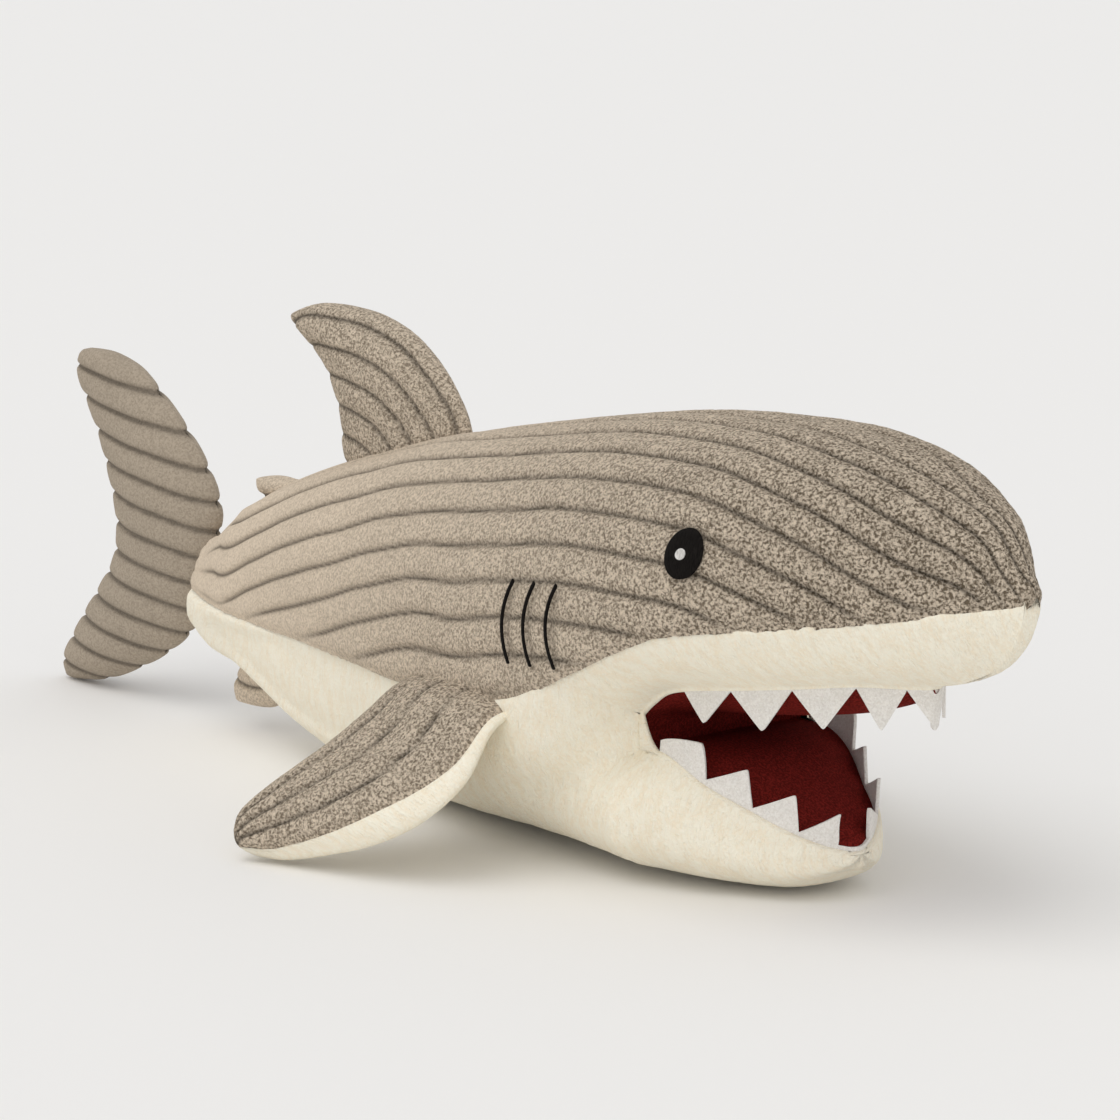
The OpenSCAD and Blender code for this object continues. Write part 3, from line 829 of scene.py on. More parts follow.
@dataclass
class Back(Assembly):
    """The grey channelled cover of the back and the head."""

    step: float = 1.15
    across: int = 221
    ragged: float = 0.8
    run_out: float = -150.0
    tail_cap: tuple[float, float, float] = (-181.0, 0.0, 68.0)
    nose_cap: tuple[float, float, float] = (301.0, 0.0, 120.5)

    def build(self) -> None:
        """Makes the cover."""
        stations = np.concatenate([np.arange(TORSO.tail_end, 262, self.step), closing(262, TORSO.nose, 46)])
        angles = np.linspace(-1.2, 181.2, 500)
        grid = even(TORSO.point(stations[:, None], angles[None, :]), self.across)
        length, edge, normals = arc_along(grid, 1), from_rim(grid), outward(grid)
        half = length[:, -1:] / 2
        slim = 1.0 + 2.2 * smooth(stations, 245, 290)[:, None]
        puffed = self.filling.swell(grid - normals * (slim * smooth(edge, 0, 12))[..., None], sewn=2)
        gap, pitch = self.channel_gap(grid, stations, np.abs(length - half), half)
        relief, mask = channel_relief(gap, pitch)
        # The painted channel shade fades out towards the tail end.
        mask = mask * smooth(stations, -178, -150)[:, None]
        fade = smooth(edge, 0, 7) * 0.85 + 0.15
        roll = -1.3 * np.exp(-((edge / 2.2) ** 2))
        nubby = Profile((-177, -60, 80, 250), (0.2, 0.35, 0.65, 1.1))(stations)[:, None]
        press = gill_press(grid)
        calm = 1 - 0.7 * smooth(stations, 270, 300)[:, None]
        calm = calm * (0.3 + 0.7 * smooth(stations, -172, -130)[:, None])
        relief = relief * calm * (1 - 0.8 * press) - 1.0 * press
        puffed += normals * (relief * fade + roll + pile_lumps(grid, 0.30, 1.0) * nubby)[..., None]
        tangent = np.gradient(grid, axis=1)
        tangent /= np.maximum(np.linalg.norm(tangent, axis=-1, keepdims=True), 1e-9)
        fringe = self.ragged * (0.35 + 0.65 * wobble(grid * MM, 2.3 * MM, 11.0))
        away = np.where(length < half, -1.0, 1.0) * np.exp(-edge / 1.5) * fringe * calm**2
        puffed += tangent * away[..., None]
        tail = self.cap(puffed[0], self.tail_cap)[::-1]
        front = self.cap(puffed[-1], self.nose_cap)
        shape = (mask * fade).shape
        ends = ((len(tail), len(front)), (0, 0))
        # The first mask is the painted shade of the sewn channels.
        painted_shade, pile = (np.pad(np.broadcast_to(a, shape), ends, "edge") for a in (mask * fade, nubby))
        piece = Sheet("grey_back", np.concatenate([tail, puffed, front]) * MM, painted_shade=painted_shade, pile=pile,
                      flip=True).build()
        self.settle(piece, Cloth.GREY, "body", ("back_skin", "body_stuffing"), fill=0.9)

    def channel_gap(self, grid: Array, stations: Array, from_ridge: Array,
                    half: Array) -> tuple[Array, Array]:
        """Where the sewn channels run.

        Args:
            grid: the cover's points in millimetres.
            stations: the station of every row.
            from_ridge: distance of every point from the ridge along its row.
            half: half the length of every row.

        Returns:
            Distance of every point from the nearest channel, and the pitch of the channels there.
        """
        held = np.maximum(stations, self.run_out)
        start, pitch = CHANNEL_START(held)[:, None], CHANNEL_PITCH(held)[:, None]
        root = np.interp(held, stations, half[:, 0])[:, None] / half
        wander = 0.55 * wobble(grid * MM, 30 * MM, 3.0)
        phase = ((from_ridge + wander) * root - start) / pitch
        return np.abs(phase - np.round(phase)) * pitch / root, pitch

    @staticmethod
    def cap(edge: Array, centre: tuple[float, float, float], count: int = 7) -> Array:
        """Rows that close an open end with a rounded cap.

        Args:
            edge: the last row of points.
            centre: where the cap closes.
            count: number of rows.

        Returns:
            The rows, from the edge to the centre.
        """
        rows = []
        for t in np.linspace(0, math.pi / 2, count + 1)[1:]:
            row = edge * np.cos(t) + np.array(centre) * (1 - np.cos(t))
            row[:, 0] = edge[:, 0] + (centre[0] - edge[:, 0]) * np.sin(t)
            rows.append(row)
        return np.array(rows)


@dataclass
class Belly(Assembly):
    """The cream belly, cheeks and lower jaw in one sewn cover."""

    step: float = 2.0
    upper: int = 26
    lower: int = 64
    gum_share: float = 0.0
    seam_tuck: float = 2.6
    tail_cap: tuple[float, float, float] = (-181.0, 0.0, 66.0)
    chin_cap: tuple[float, float, float] = (221.7, 0.0, 17.3)

    def half_sections(self, x: Array) -> Array:
        """Right half sections behind the mouth, from the seam to the belly line."""
        angles = np.linspace(0, -90, 300)
        torso = even(TORSO.point(x[:, None], angles[None, :]), 300)
        lip = lip_surface(np.zeros(40), np.linspace(1, 0, 40))
        corner = np.array([[TORSO.corner, -42.0, z] for z in np.linspace(62, 49, 14)])
        mouth = np.concatenate([lip, corner[1:], jaw_half_section(np.array([TORSO.corner]), 90)[0][1:]])
        mouth = even(mouth[None], 300)[0]
        length = arc_along(mouth[None], 1)[0]
        gum = np.argmin(np.abs(mouth[:, 2] - 49) + np.abs(mouth[:, 1] + 42))
        self.gum_share = length[gum] / length[-1]
        cheek = np.clip((x - 106) / (TORSO.corner - 106), 0, 1)[:, None] ** 3.0
        neck = (smooth(x, 70, 172) / smooth(np.array(TORSO.corner), 70, 172))[:, None]
        lower = smooth(np.linspace(0, 1, 300), self.gum_share * 0.55, self.gum_share + 0.22)[None]
        share = (cheek * (1 - lower) + neck * lower)[..., None]
        mixed = torso * (1 - share) + mouth[None] * share
        mixed[..., 0] = torso[..., 0]
        return mixed

    def build(self) -> None:
        """Makes the cover."""
        behind = np.concatenate([np.arange(TORSO.tail_end, 120, self.step),
                                 np.linspace(120, TORSO.corner, 30)])
        full = self.half_sections(behind)
        upper = self._part(full, 0, self.gum_share, self.upper)
        lower = self._part(full, self.gum_share, 1, self.lower)
        ahead = np.concatenate([np.linspace(TORSO.corner, 200, 36), closing(201, 224, 22)])
        jaw = even(jaw_half_section(ahead, 120), self.lower)
        jaw[0] = lower[-1]
        rear = self._mirror(np.concatenate([upper, lower[:, 1:]], 1))
        front = trimmed(self._mirror(jaw))
        rear, front = self._puff(rear, self.seam_tuck), self._puff(front, 0.0)
        front[0] = rear[-1, self.upper - 1:rear.shape[1] - self.upper + 1]
        tail = Back.cap(rear[0], self.tail_cap)[::-1]
        chin = Back.cap(front[-1], self.chin_cap)
        piece = join("cream_belly_and_jaw", (
            Sheet("rear", np.concatenate([tail, rear]) * MM, pile=0.4).build(),
            Sheet("front", np.concatenate([front, chin]) * MM, pile=0.8).build(),
            self._corner_web(1.0), self._corner_web(-1.0), self._gum_roll()))
        weld(piece)
        self.settle(piece, Cloth.CREAM, "body",
                    ("belly_skin", "lower_jaw_skin", "jaw_stuffing"), bend="lower_jaw", fill=0.9)

    def _puff(self, grid: Array, tuck: float) -> Array:
        """Swells and roughens a grid of points in millimetres and tucks its side edges in."""
        edge, swollen = from_rim(grid), self.filling.swell(grid)
        lumps = pile_lumps(grid, 0.35, 21.0) + 0.9 * wobble(grid * MM, 42 * MM, 5.0)
        lumps = lumps * smooth(edge, 0, 4) - tuck * np.exp(-((edge / 2.6) ** 2))
        swollen = swollen + outward(grid) * lumps[..., None]
        swollen[..., 2] = np.maximum(swollen[..., 2], 0.0)
        return swollen

    @staticmethod
    def _mouth_edge() -> Array:
        """The edge of the cream cover round the lower jaw, between the two corners of the mouth."""
        line = gum_line(90)
        line = line[(line[:, 0] > 159) | (np.abs(line[:, 1]) < 20)]
        turn = np.linspace(0, 1, 12)[:-1, None]
        top, knee, low = np.array([150.8, -42, 62.5]), np.array([152.0, -41.6, 53.0]), line[0]
        corner = top * (1 - turn) ** 2 + 2 * knee * turn * (1 - turn) + low * turn**2
        return np.concatenate([corner, line, (corner * MIRROR)[::-1]])

    def _corner_web(self, side: float) -> bpy.types.Object:
        """The small web of cover that rounds one corner of the mouth."""
        edge = self._mouth_edge()
        edge = even(edge[:13][None], 24)[0]
        gum = gum_line(90)
        gum = gum[(gum[:, 0] < edge[-1, 0]) & (gum[:, 1] < 0)]
        outer = np.concatenate([[[TORSO.corner, -42, z] for z in np.linspace(62, 49.5, 12)], gum, edge[-1:]])
        outer = even(outer[None], 24)[0]
        u = np.linspace(0, 1, 9)[None, :, None]
        grid = outer[:, None] * (1 - u) + edge[:, None] * u
        grid[..., 1] -= 1.1 * np.sin(math.pi * u[..., 0]) * np.sin(np.linspace(0, math.pi, 24))[:, None]
        grid[..., 1] *= side
        return Sheet("web", grid * MM, pile=0.9, flip=side < 0).build()

    def _gum_roll(self) -> bpy.types.Object:
        """The rolled edge of the jaw cover, from one mouth corner round the gum line to the other."""
        line = self._mouth_edge()
        inward = inward_of(line)
        steep = smooth(line[:, 2], 47, 56)[:, None] * (line[:, :1] < 160)
        rise = np.array([0, 0, 1.0]) * (1 - steep) + np.array([1.0, 0, 0.2]) * steep
        rows = [line + inward * 1.3 - rise * 1.2, line + inward * 0.4 - rise * 0.5]
        for turn in np.linspace(-math.pi / 2, math.pi / 2, 9):
            rows.append(line + inward * (1.15 * (1 + math.sin(turn))) + rise * (1.25 * math.cos(turn)))
        rows.append(rows[-1] - rise * 3.0)
        return Sheet("roll", np.stack(rows, 1) * MM, pile=0.8).build()

    @staticmethod
    def _part(curve: Array, start: float, end: float, count: int) -> Array:
        """A stretch of every row of evenly spaced points, between two shares of its length."""
        n = curve.shape[1]
        at = np.linspace(start, end, count) * (n - 1)
        low = np.minimum(at.astype(int), n - 2)
        part = (at - low)[None, :, None]
        return curve[:, low] * (1 - part) + curve[:, low + 1] * part

    @staticmethod
    def _mirror(half: Array) -> Array:
        """The whole section from its right half."""
        return np.concatenate([half, (half * MIRROR)[:, -2::-1]], 1)


def gum_line(count: int) -> Array:
    """Points of the gum line in millimetres, from the right corner round the front to the left corner."""
    x = TORSO.corner + (GUM_FRONT - TORSO.corner) * np.sin(np.linspace(0, math.pi / 2, count))
    right = np.stack([x, -GUM_HALF(x), GUM_HIGH(x)], -1)
    front = np.array([[224.8, -2.4, 17.3], [225.0, 0, 17.2], [224.8, 2.4, 17.3]])
    return trimmed(np.concatenate([right, front, (right * MIRROR)[::-1]]))


def trimmed(points: Array) -> Array:
    """Jaw points drawn back and in towards the chin."""
    part = smooth(points[..., 0], JAW_DRAWN_FROM, JAW_DRAWN_TO)
    out = points.copy()
    out[..., 0] -= JAW_DRAWN_BACK * part
    out[..., 1] *= 1 - JAW_DRAWN_IN * part
    return out


def lip_line(count: int) -> Array:
    """Points of the lip line in millimetres, from the right corner round the front to the left corner."""
    return lip_surface(np.linspace(0, 1, count), np.zeros(count))


def inward_of(line: Array) -> Array:
    """Level unit vectors that point from a mouth line into the mouth."""
    tangent = np.gradient(line, axis=0)
    across = np.stack([-tangent[:, 1], tangent[:, 0], np.zeros(len(line))], -1)
    size = np.linalg.norm(across, axis=1, keepdims=True)
    across = across / np.maximum(size, 1e-6)
    towards = np.array([170.0, 0, 0]) - line * np.array([1, 1, 0])
    flip = np.sign(np.sum(across * towards, -1, keepdims=True))
    plain = towards / np.linalg.norm(towards, axis=1, keepdims=True)
    return np.where(size > 0.05, across * flip, plain)


@dataclass
class UpperLip(Assembly):
    """The cream band between the seam and the upper teeth."""

    along: int = 260
    across: int = 34

    def build(self) -> None:
        """Makes the band with its rolled lower edge."""
        s = np.linspace(0, 1, self.along)[:, None]
        u = np.linspace(0, 1, self.across)[None, :]
        grid = lip_surface(s, u)
        edge_low = arc_along(grid, 1)
        edge_high = edge_low[:, -1:] - edge_low
        lumps = pile_lumps(grid, 0.35, 33.0) + 0.8 * wobble(grid * MM, 30 * MM, 9.0)
        ends = smooth(np.minimum(s, 1 - s), 0, 0.05)
        lumps = lumps * ends * smooth(edge_low, 0, 3) * smooth(edge_high, 0, 3)
        nose = smooth(1 - np.abs(2 * s - 1), 0.85, 1)
        lumps = lumps - 2.6 * (1 - 0.5 * nose) * np.exp(-((edge_high / 2.6) ** 2))
        swollen = self.filling.swell(grid) + outward(grid) * lumps[..., None]
        line = grid[:, 0]
        inward = inward_of(line)
        roll = [line + inward * (1.7 * (1 - math.cos(t))) + np.array([0, 0, 1.0]) * (-1.5 * math.sin(t))
                for t in np.linspace(0.3, 2.6, 7)]
        whole = np.concatenate([np.stack(roll[::-1], 1), swollen], 1)
        piece = Sheet("cream_upper_lip", whole * MM, pile=0.9).build()
        weld(piece)
        self.settle(piece, Cloth.CREAM, "body", ("upper_lip_skin",), fill=0.9)


@dataclass
class MouthLining(Assembly):
    """The red palate, throat and tongue cushions."""

    across: int = 44

    def build(self) -> None:
        """Makes both linings."""
        k = np.linspace(-1, 1, self.across)[None, :]
        x = np.concatenate([np.linspace(150.8, 240, 60), closing(241, 256.5, 16)])[:, None]
        width = np.maximum(LIP_HALF(x) - 1.2, 0.4)
        edge_high = LIP_HIGH(x) + 0.6
        low = np.minimum(LIP_HIGH(x) - 1, PALATE_LOW(x))
        palate = np.stack(np.broadcast_arrays(x, k * width, low + (edge_high - low) * np.abs(k) ** 2.4), -1)
        palate[..., 2] += 0.7 * wobble(palate * MM, 35 * MM, 2.0)
        throat = []
        for part in np.linspace(1, 0, 9)[:-1]:
            row = palate[0].copy()
            row[:, 0] = TORSO.corner - 1.2 - 2.5 * math.sin(part * math.pi)
            row[:, 2] = row[:, 2] * (1 - part) + 45.0 * part
            throat.append(row)
        piece = Sheet("red_palate", np.concatenate([np.array(throat), palate]) * MM).build()
        self.settle(piece, Cloth.RED, "body", ("palate_lining",), fill=0.7)
        x = np.concatenate([np.linspace(148.5, 200, 40), closing(201, 222.6, 26)])[:, None]
        width = np.maximum((GUM_HALF(x) - 1.6) * np.sqrt(np.clip((223.2 - x) / 5, 0, 1)), 0.3)
        high = TONGUE_HIGH(x) - 0.5
        rim = GUM_HIGH(x) - 0.6
        tongue = np.stack(np.broadcast_arrays(x, k * width, high + (rim - high) * np.abs(k) ** 3), -1)
        tongue[..., 2] += 0.6 * wobble(tongue * MM, 30 * MM, 6.0)
        piece = Sheet("red_tongue", trimmed(tongue) * MM, flip=True).build()
        self.settle(piece, Cloth.RED, "body", ("jaw_lining",), bend="lower_jaw", fill=0.7)


@dataclass(frozen=True)
class ToothRow:
    """Where the points of a felt strip stand along its line, in millimetres."""

    valleys: tuple[float, ...]
    tips: tuple[float, ...]
    low: float
    high: float
    tip_radius: float = 0.5
    scale: tuple[float, ...] = ()
    floors: tuple[float, ...] = ()

    def height(self, at: Array) -> Array:
        """Height of the strip at a distance along its line."""
        out = np.full(at.shape, self.low)
        scale = self.scale or (1.0,) * len(self.tips)
        floors = self.floors or (self.low,) * len(self.valleys)
        for k, tip in enumerate(self.tips):
            a, b = self.valleys[k:k + 2]
            d = at - tip
            reach = np.where(d < 0, tip - a, b - tip)
            bend = (np.sqrt(d**2 + self.tip_radius**2) - self.tip_radius) / reach
            floor = np.where(d < 0, floors[k], floors[k + 1])
            high = floor + (self.high * scale[k] - floor) * np.clip(1 - bend, 0, 1)
            out = np.where((at >= a) & (at <= b), high, out)
        return out


@dataclass
class Teeth(Assembly):
    """The two rows of white felt teeth."""

    thick: float = 1.2
    step: float = 0.5

    def strip(self, name: str, line: Array, row: ToothRow, stand: Array, inset: float, tuck: float,
              width: float, node: str, rests_on: str, bend: str = "") -> None:
        """Cuts one felt strip, bends it along its line and hands it to the frame.

        Args:
            name: the piece's name.
            line: the sewn line in millimetres.
            row: where its teeth are.
            stand: unit vectors in which the teeth point.
            inset: how far inside the line its outer face is.
            tuck: how much felt is sewn in behind the line.
            width: not used.
            node: the CAD node it is shown in place of.
            rests_on: not used.
            bend: a second body, passed on to settle.
        """
        length = arc_along(line[None], 1)[0]
        at = np.arange(row.valleys[0], row.valleys[-1] + 0.01, self.step)
        path = np.stack([np.interp(at, length, line[:, c]) for c in range(3)], -1)
        way = np.stack([np.interp(at, length, stand[:, c]) for c in range(3)], -1)
        way = unit(way)
        inward = inward_of(path)
        inward = unit(inward - way * np.sum(inward * way, -1, keepdims=True))
        high = row.height(at)
        lean = 0.5 * wobble(path * MM, 16 * MM, 4.0)
        rings = []
        levels = np.linspace(0, 1, 9)
        for depth, short, steps in ((0.0, 0.0, levels), (self.thick, 0.15, levels[::-1])):
            for level in steps:
                up = -tuck + (high + tuck - short) * level
                rings.append(path + way * up[:, None] + inward * (inset + depth + lean * level**2)[:, None])
        grid = np.stack(rings, 1)
        piece = Sheet(name, grid * MM, wrap=True, cap_first=True, cap_last=True).build()
        weld(piece)
        bevel = piece.modifiers.new("soft_edge", "BEVEL")
        bevel.width, bevel.segments, bevel.limit_method = 0.25 * MM, 2, "ANGLE"
        baked = evaluated(piece)
        piece.modifiers.clear()
        piece.data = baked
        self.settle(piece, Cloth.FELT, "body", (node,), bend=bend)
        length, area = float(at[-1] - at[0]), float(np.sum(high + tuck) * self.step)

    def build(self) -> None:
        """Makes both rows."""
        line = lip_line(400)
        total = arc_along(line[None], 1)[0, -1]
        marks = (27.0, 48.7, 74.1, 97.5, 115.0)
        points = (36.5, 62.3, 86.0, 106.5)
        valleys = (*marks, *(total - m for m in reversed(marks)))
        tips = (*points, total / 2, *(total - p for p in reversed(points)))
        row = ToothRow(valleys, tips, 0.9, 15.6, scale=(0.82, 1, 1, 1.03, 1, 1.03, 1, 1, 0.82))
        down = np.tile([0.0, 0.0, -1.0], (len(line), 1))
        self.strip("felt_teeth_upper", line, row, down, inset=0.9, tuck=3.0, width=19.1, node="upper_teeth",
                   rests_on="cream_upper_lip")
        line = gum_line(200)
        total = arc_along(line[None], 1)[0, -1]
        marks = (9.5, 31.0, 51.0, 70.0, 86.0)
        points = (22.0, 42.2, 62.0, 81.5)
        valleys = (*marks, *(total - m for m in reversed(marks)))
        tips = (*points, total / 2, *(total - p for p in reversed(points)))
        ends = (5.0, 2.4, 1.8, 1.8, 2.6)
        sizes = (0.97, 1.0, 1.0, 0.97)
        row = ToothRow(valleys, tips, 2.4, 14.0, scale=(*sizes, 0.2, *reversed(sizes)),
                       floors=(*ends, *reversed(ends)))
        tangent = unit(np.gradient(line, axis=0))
        up = unit(np.array([0, 0, 1.0]) - tangent * tangent[:, 2:3] * 1.25)
        self.strip("felt_teeth_lower", line, row, up, inset=1.3, tuck=2.0, width=16.0, node="lower_teeth",
                   rests_on="cream_belly_and_jaw", bend="lower_jaw")


class RibLay(Enum):
    """How the channels lie on a fin."""

    ALONG_FRONT = "along the front edge"
    ACROSS = "across the fin"
    LENGTHWISE = "from the root to the tip"


@dataclass
class Fin(Assembly):
    """One stuffed fin sewn from two faces round its outline."""

    body: str = "body"
    stations: tuple[tuple[float, ...], ...] = ()
    half_thickness: float = 9.0
    lay: RibLay = RibLay.ALONG_FRONT
    pitch: float = 12.5
    first: float = 6.0
    sink: tuple[float, float, float] = (0.0, 0.0, 0.0)
    nubby: float = 1.0
    rows: int = 110
    across: int = 60
    faces: tuple[tuple[str, Cloth, tuple[str, ...]], ...] = ()
    upside: bool = False
    seam_column: int = 13
    # shade: painted shade laid evenly over the whole fin, on top of its channel shade.
    shade: float = 0.0
    groove_depth: float = 1.15

    def outline(self) -> tuple[Array, Array, Array]:
        """Front line, back line and thickness share from root to tip, with the sunk root added."""
        table = np.array(self.stations, float)
        if table.shape[1] == 5:
            front = np.stack([table[:, 0], 0 * table[:, 0], table[:, 1]], -1)
            back = np.stack([table[:, 2], 0 * table[:, 0], table[:, 3]], -1)
        else:
            front, back = table[:, :3] * MIRROR, table[:, 3:6] * MIRROR
        share = table[:, -1]
        sink = np.array(self.sink, float)
        if np.any(sink):
            front, back = np.insert(front, 0, front[0] + sink, 0), np.insert(back, 0, back[0] + sink, 0)
            share = np.insert(share, 0, max(share[0], 0.75))
            share[1] = max(share[1], 0.8)
        middle = (front + back) / 2
        run = np.concatenate([[0], np.cumsum(np.linalg.norm(np.diff(middle, axis=0), axis=1))])
        at = np.concatenate([np.linspace(0, run[-2], self.rows), closing(run[-2], run[-1], 16)[1:]])

        def line(values: Array) -> Array:
            """Values of every column along the run."""
            return np.stack([Profile(tuple(run), tuple(v))(at) for v in values.T], -1)

        reach = 0.85 * np.linalg.norm(front[-1] - back[-1])
        ending = np.clip(at - run[-1] + reach, 0, reach) / reach
        close = np.sqrt(np.clip(1 - ending**2, 0.0009, 1))[:, None]
        front, back, share = line(front), line(back), line(share[:, None])[:, 0]
        middle = (front + back) / 2
        return middle + (front - middle) * close, middle + (back - middle) * close, share

    def face(self, side: float, normal: Array) -> tuple[Array, Array]:
        """One face.

        Args:
            side: 1 for the face on the normal's side, -1 for the other.
            normal: unit normal of the fin's middle plane.

        Returns:
            Points in millimetres and the mask of painted shade in the channels.
        """
        front, back, share = self.outline()
        u = ((1 - np.cos(np.linspace(0, math.pi, self.across))) / 2)[None, :, None]
        if side > 0 and len(self.faces) == 2:
            u = self.shifted(u, len(front))
        crown = (4 * u * (1 - u)) ** 0.55
        tip = np.sqrt(np.clip((len(front) - 1 - np.arange(len(front))) / 8, 0, 1))[:, None, None]
        middle = front[:, None] + (back - front)[:, None] * u
        high = (1.9 + self.half_thickness * share[:, None, None]) * crown * tip
        grid = self.filling.swell(middle + side * normal * high)
        gap, rim = self.channel_gap(grid, front, back, u[..., 0]), from_rim(grid)
        relief, mask = channel_relief(gap, np.full(gap.shape, self.pitch), self.groove_depth)
        weight = crown[..., 0] ** 0.5
        lumps = pile_lumps(grid, 0.28 * (0.4 + 0.6 * self.nubby), 40 + side) * smooth(rim, 0, 2)
        seam = -0.7 * np.exp(-((rim / 1.6) ** 2)) * smooth(rim, 0, 1)
        if len(self.faces) == 2:
            seam = seam * (u[..., 0] > 0.5)
        if self.lay is RibLay.ACROSS:
            weight = np.maximum(weight, 0.35)
            edge = (4 * (u - 0.5) ** 2) * 2 * (u - 0.5)
            grid = grid + unit(back - front)[:, None] * edge * (relief + 0.4)[..., None]
        return grid + side * normal * ((relief * weight + lumps + seam)[..., None]), mask

    def shifted(self, u: Array, count: int) -> Array:
        """Shares across the top face, moved so that the rim seam leaves the front edge in mid span."""
        run = np.linspace(0, 1, count)[:, None, None]
        seam = Profile((0.0, 0.2, 0.5, 0.8, 1.0), (0.02, 0.05, 0.13, 0.09, 0.02))(run)
        cut = u[:, self.seam_column:self.seam_column + 1]
        return np.where(u <= cut, u / cut * seam, seam + (u - cut) / (1 - cut) * (1 - seam))

    def channel_gap(self, grid: Array, front: Array, back: Array, u: Array) -> Array:
        """How far every point is from the nearest channel.

        Args:
            grid: the face's points in millimetres.
            front: the fin's front line.
            back: the fin's back line.
            u: share of each point across the fin, 0 at the front line.

        Returns:
            Distance of every point in millimetres.
        """
        if self.lay is RibLay.LENGTHWISE:
            chord = np.linalg.norm(back - front, axis=1)[:, None]
            return np.min([np.abs(u - c) * chord for c in (0.34, 0.58, 0.80)], axis=0)
        if self.lay is RibLay.ACROSS:
            along = grid[..., 2] + 0.13 * (grid[..., 0] + 250) + 0.5 * wobble(grid * MM, 25 * MM, 8.0)
            phase = (along - self.first) / self.pitch
            return np.abs(phase - np.round(phase)) * self.pitch
        flat = grid.reshape(-1, 3)
        path = np.concatenate([front, front[-1:] + (front[-1:] - front[-6:-5]) * 4])
        keep = [0, 2] if np.ptp(front[:, 1]) < 1 else [0, 1, 2]
        away = np.full(len(flat), 1e9)
        for a, b in zip(path[:-1:2, keep], path[1::2, keep]):
            run, past = b - a, flat[:, keep] - a
            t = np.clip((past @ run) / max(run @ run, 1e-9), 0, 1)
            away = np.minimum(away, np.linalg.norm(past - t[:, None] * run, axis=1))
        away = away.reshape(grid.shape[:2]) + 0.5 * wobble(grid * MM, 25 * MM, 8.0)
        phase = np.maximum((away - self.first) / self.pitch, -0.5)
        return np.abs(phase - np.round(phase)) * self.pitch

    def build(self) -> None:
        """Makes the fin's faces, as one cushion or as two covers."""
        front, back = self.outline()[:2]
        k = len(front) // 2
        normal = np.cross(front[k] - front[0], back[k] - front[k])
        normal /= np.linalg.norm(normal)
        if self.upside and normal[2] < 0:
            normal = -normal
        (top, mask), (under, mask_under) = self.face(1.0, normal), self.face(-1.0, normal)
        under[:, 0], under[:, -1] = top[:, 0], top[:, -1]
        if len(self.faces) == 1:
            ring, mask = (np.concatenate([a, b[:, -2:0:-1]], 1)
                          for a, b in ((top, under), (mask, mask_under)))
            name, cloth, nodes = self.faces[0]
            # Painted shade: the channel mask, with the fin's own shade laid evenly over all of it.
            painted_shade = np.minimum(1, mask + self.shade)
            piece = Sheet(name, ring * MM, painted_shade=painted_shade, pile=self.nubby, wrap=True, cap_first=True,
                          cap_last=True).build()
            weld(piece)
            self.settle(piece, cloth, self.body, nodes, fill=0.8)
            return
        k = self.seam_column
        top[:, k] -= normal * 1.0
        top[:, k - 1] -= normal * 0.5
        top[:, k + 1] -= normal * 0.5
        wrapped = np.concatenate([under[:, ::-1], top[:, 1:k + 1]], 1)
        for grid, painted_shade, out, (name, cloth, nodes) in (
                (top[:, k:], mask[:, k:], normal, self.faces[0]), (wrapped, None, -normal, self.faces[1])):
            piece = Sheet(name, grid * MM, painted_shade=painted_shade, pile=self.nubby).build()
            weld(piece)
            face_towards(piece, out)
            self.settle(piece, cloth, self.body, nodes, fill=0.8)


@dataclass
class Face(Assembly):
    """Embroidered eyes and gill stitches."""

    eye: tuple[float, float] = (199.0, 129.0)
    eye_half: tuple[float, float] = (7.0, 8.6)
    spot: float = 2.0

    def patch(self, name: str, half: tuple[float, float], low: float, crown: float,
              lip: float) -> bpy.types.Object:
        """A domed oval of satin stitches on the right cheek.

        Args:
            name: the piece's name.
            half: half width and half height in millimetres.
            low: lift of its rim over the body surface.
            crown: how much higher its middle is.
            lip: height of a raised ring just inside the rim.

        Returns:
            The object.
        """
        r = np.sin(np.linspace(0.02, math.pi / 2, 16))[:, None]
        turn = np.linspace(0, 2 * math.pi, 49)[None, :-1]
        x = self.eye[0] + half[0] * r * np.cos(turn)
        z = self.eye[1] + half[1] * r * np.sin(turn)
        lift = low + crown * (1 - r**4) + lip * np.exp(-(((r - 0.82) / 0.16) ** 2))
        lift = np.where(r > 0.995, low - 1.2, lift)
        x, z, lift = np.broadcast_arrays(x, z, lift)
        y = -TORSO.flank(x, z) - lift
        grid = np.stack([x, y, z], -1)
        piece = Sheet(name, grid * MM, wrap=True, cap_first=True, along=z * MM, across=x * MM).build()
        weld(piece)
        face_towards(piece, np.array([0.0, -1.0, 0.0]))
        return piece

    def build(self) -> None:
        """Makes both eyes and both sets of gill lines."""
        for side in ("right", "left"):
            for part, half, low, crown, lip, cloth, node in (
                    ("eye", self.eye_half, 1.1, 0.8, 0.0, Cloth.BLACK, "eye_patch"),
                    ("eye_spot", (self.spot, self.spot), 1.7, 0.3, 0.45, Cloth.PALE, "eye_highlight")):
                piece = self.patch(f"{part}_{side}", half, low, crown, lip)
                if side == "left":
                    mirror(piece)
                self.settle(piece, cloth, "body", (f"{node}_{side}",))
            self.gills(side)

    def gills(self, side: str) -> None:
        """Sews the three gill lines of one side in satin stitch."""
        sign = -1.0 if side == "right" else 1.0
        lines = [gill_curve(k, sign, 0.9) for k in range(3)]
        piece = Stitcher().sew(f"gill_stitches_sewn_{side}", lines, Cloth.BLACK, pitch=0.34, length=1.9,
                               thread=1.0, turn=math.radians(62), up=(0.0, sign, 0.0))
        self.settle(piece, Cloth.BLACK, "body", (f"gill_stitches_{side}",))


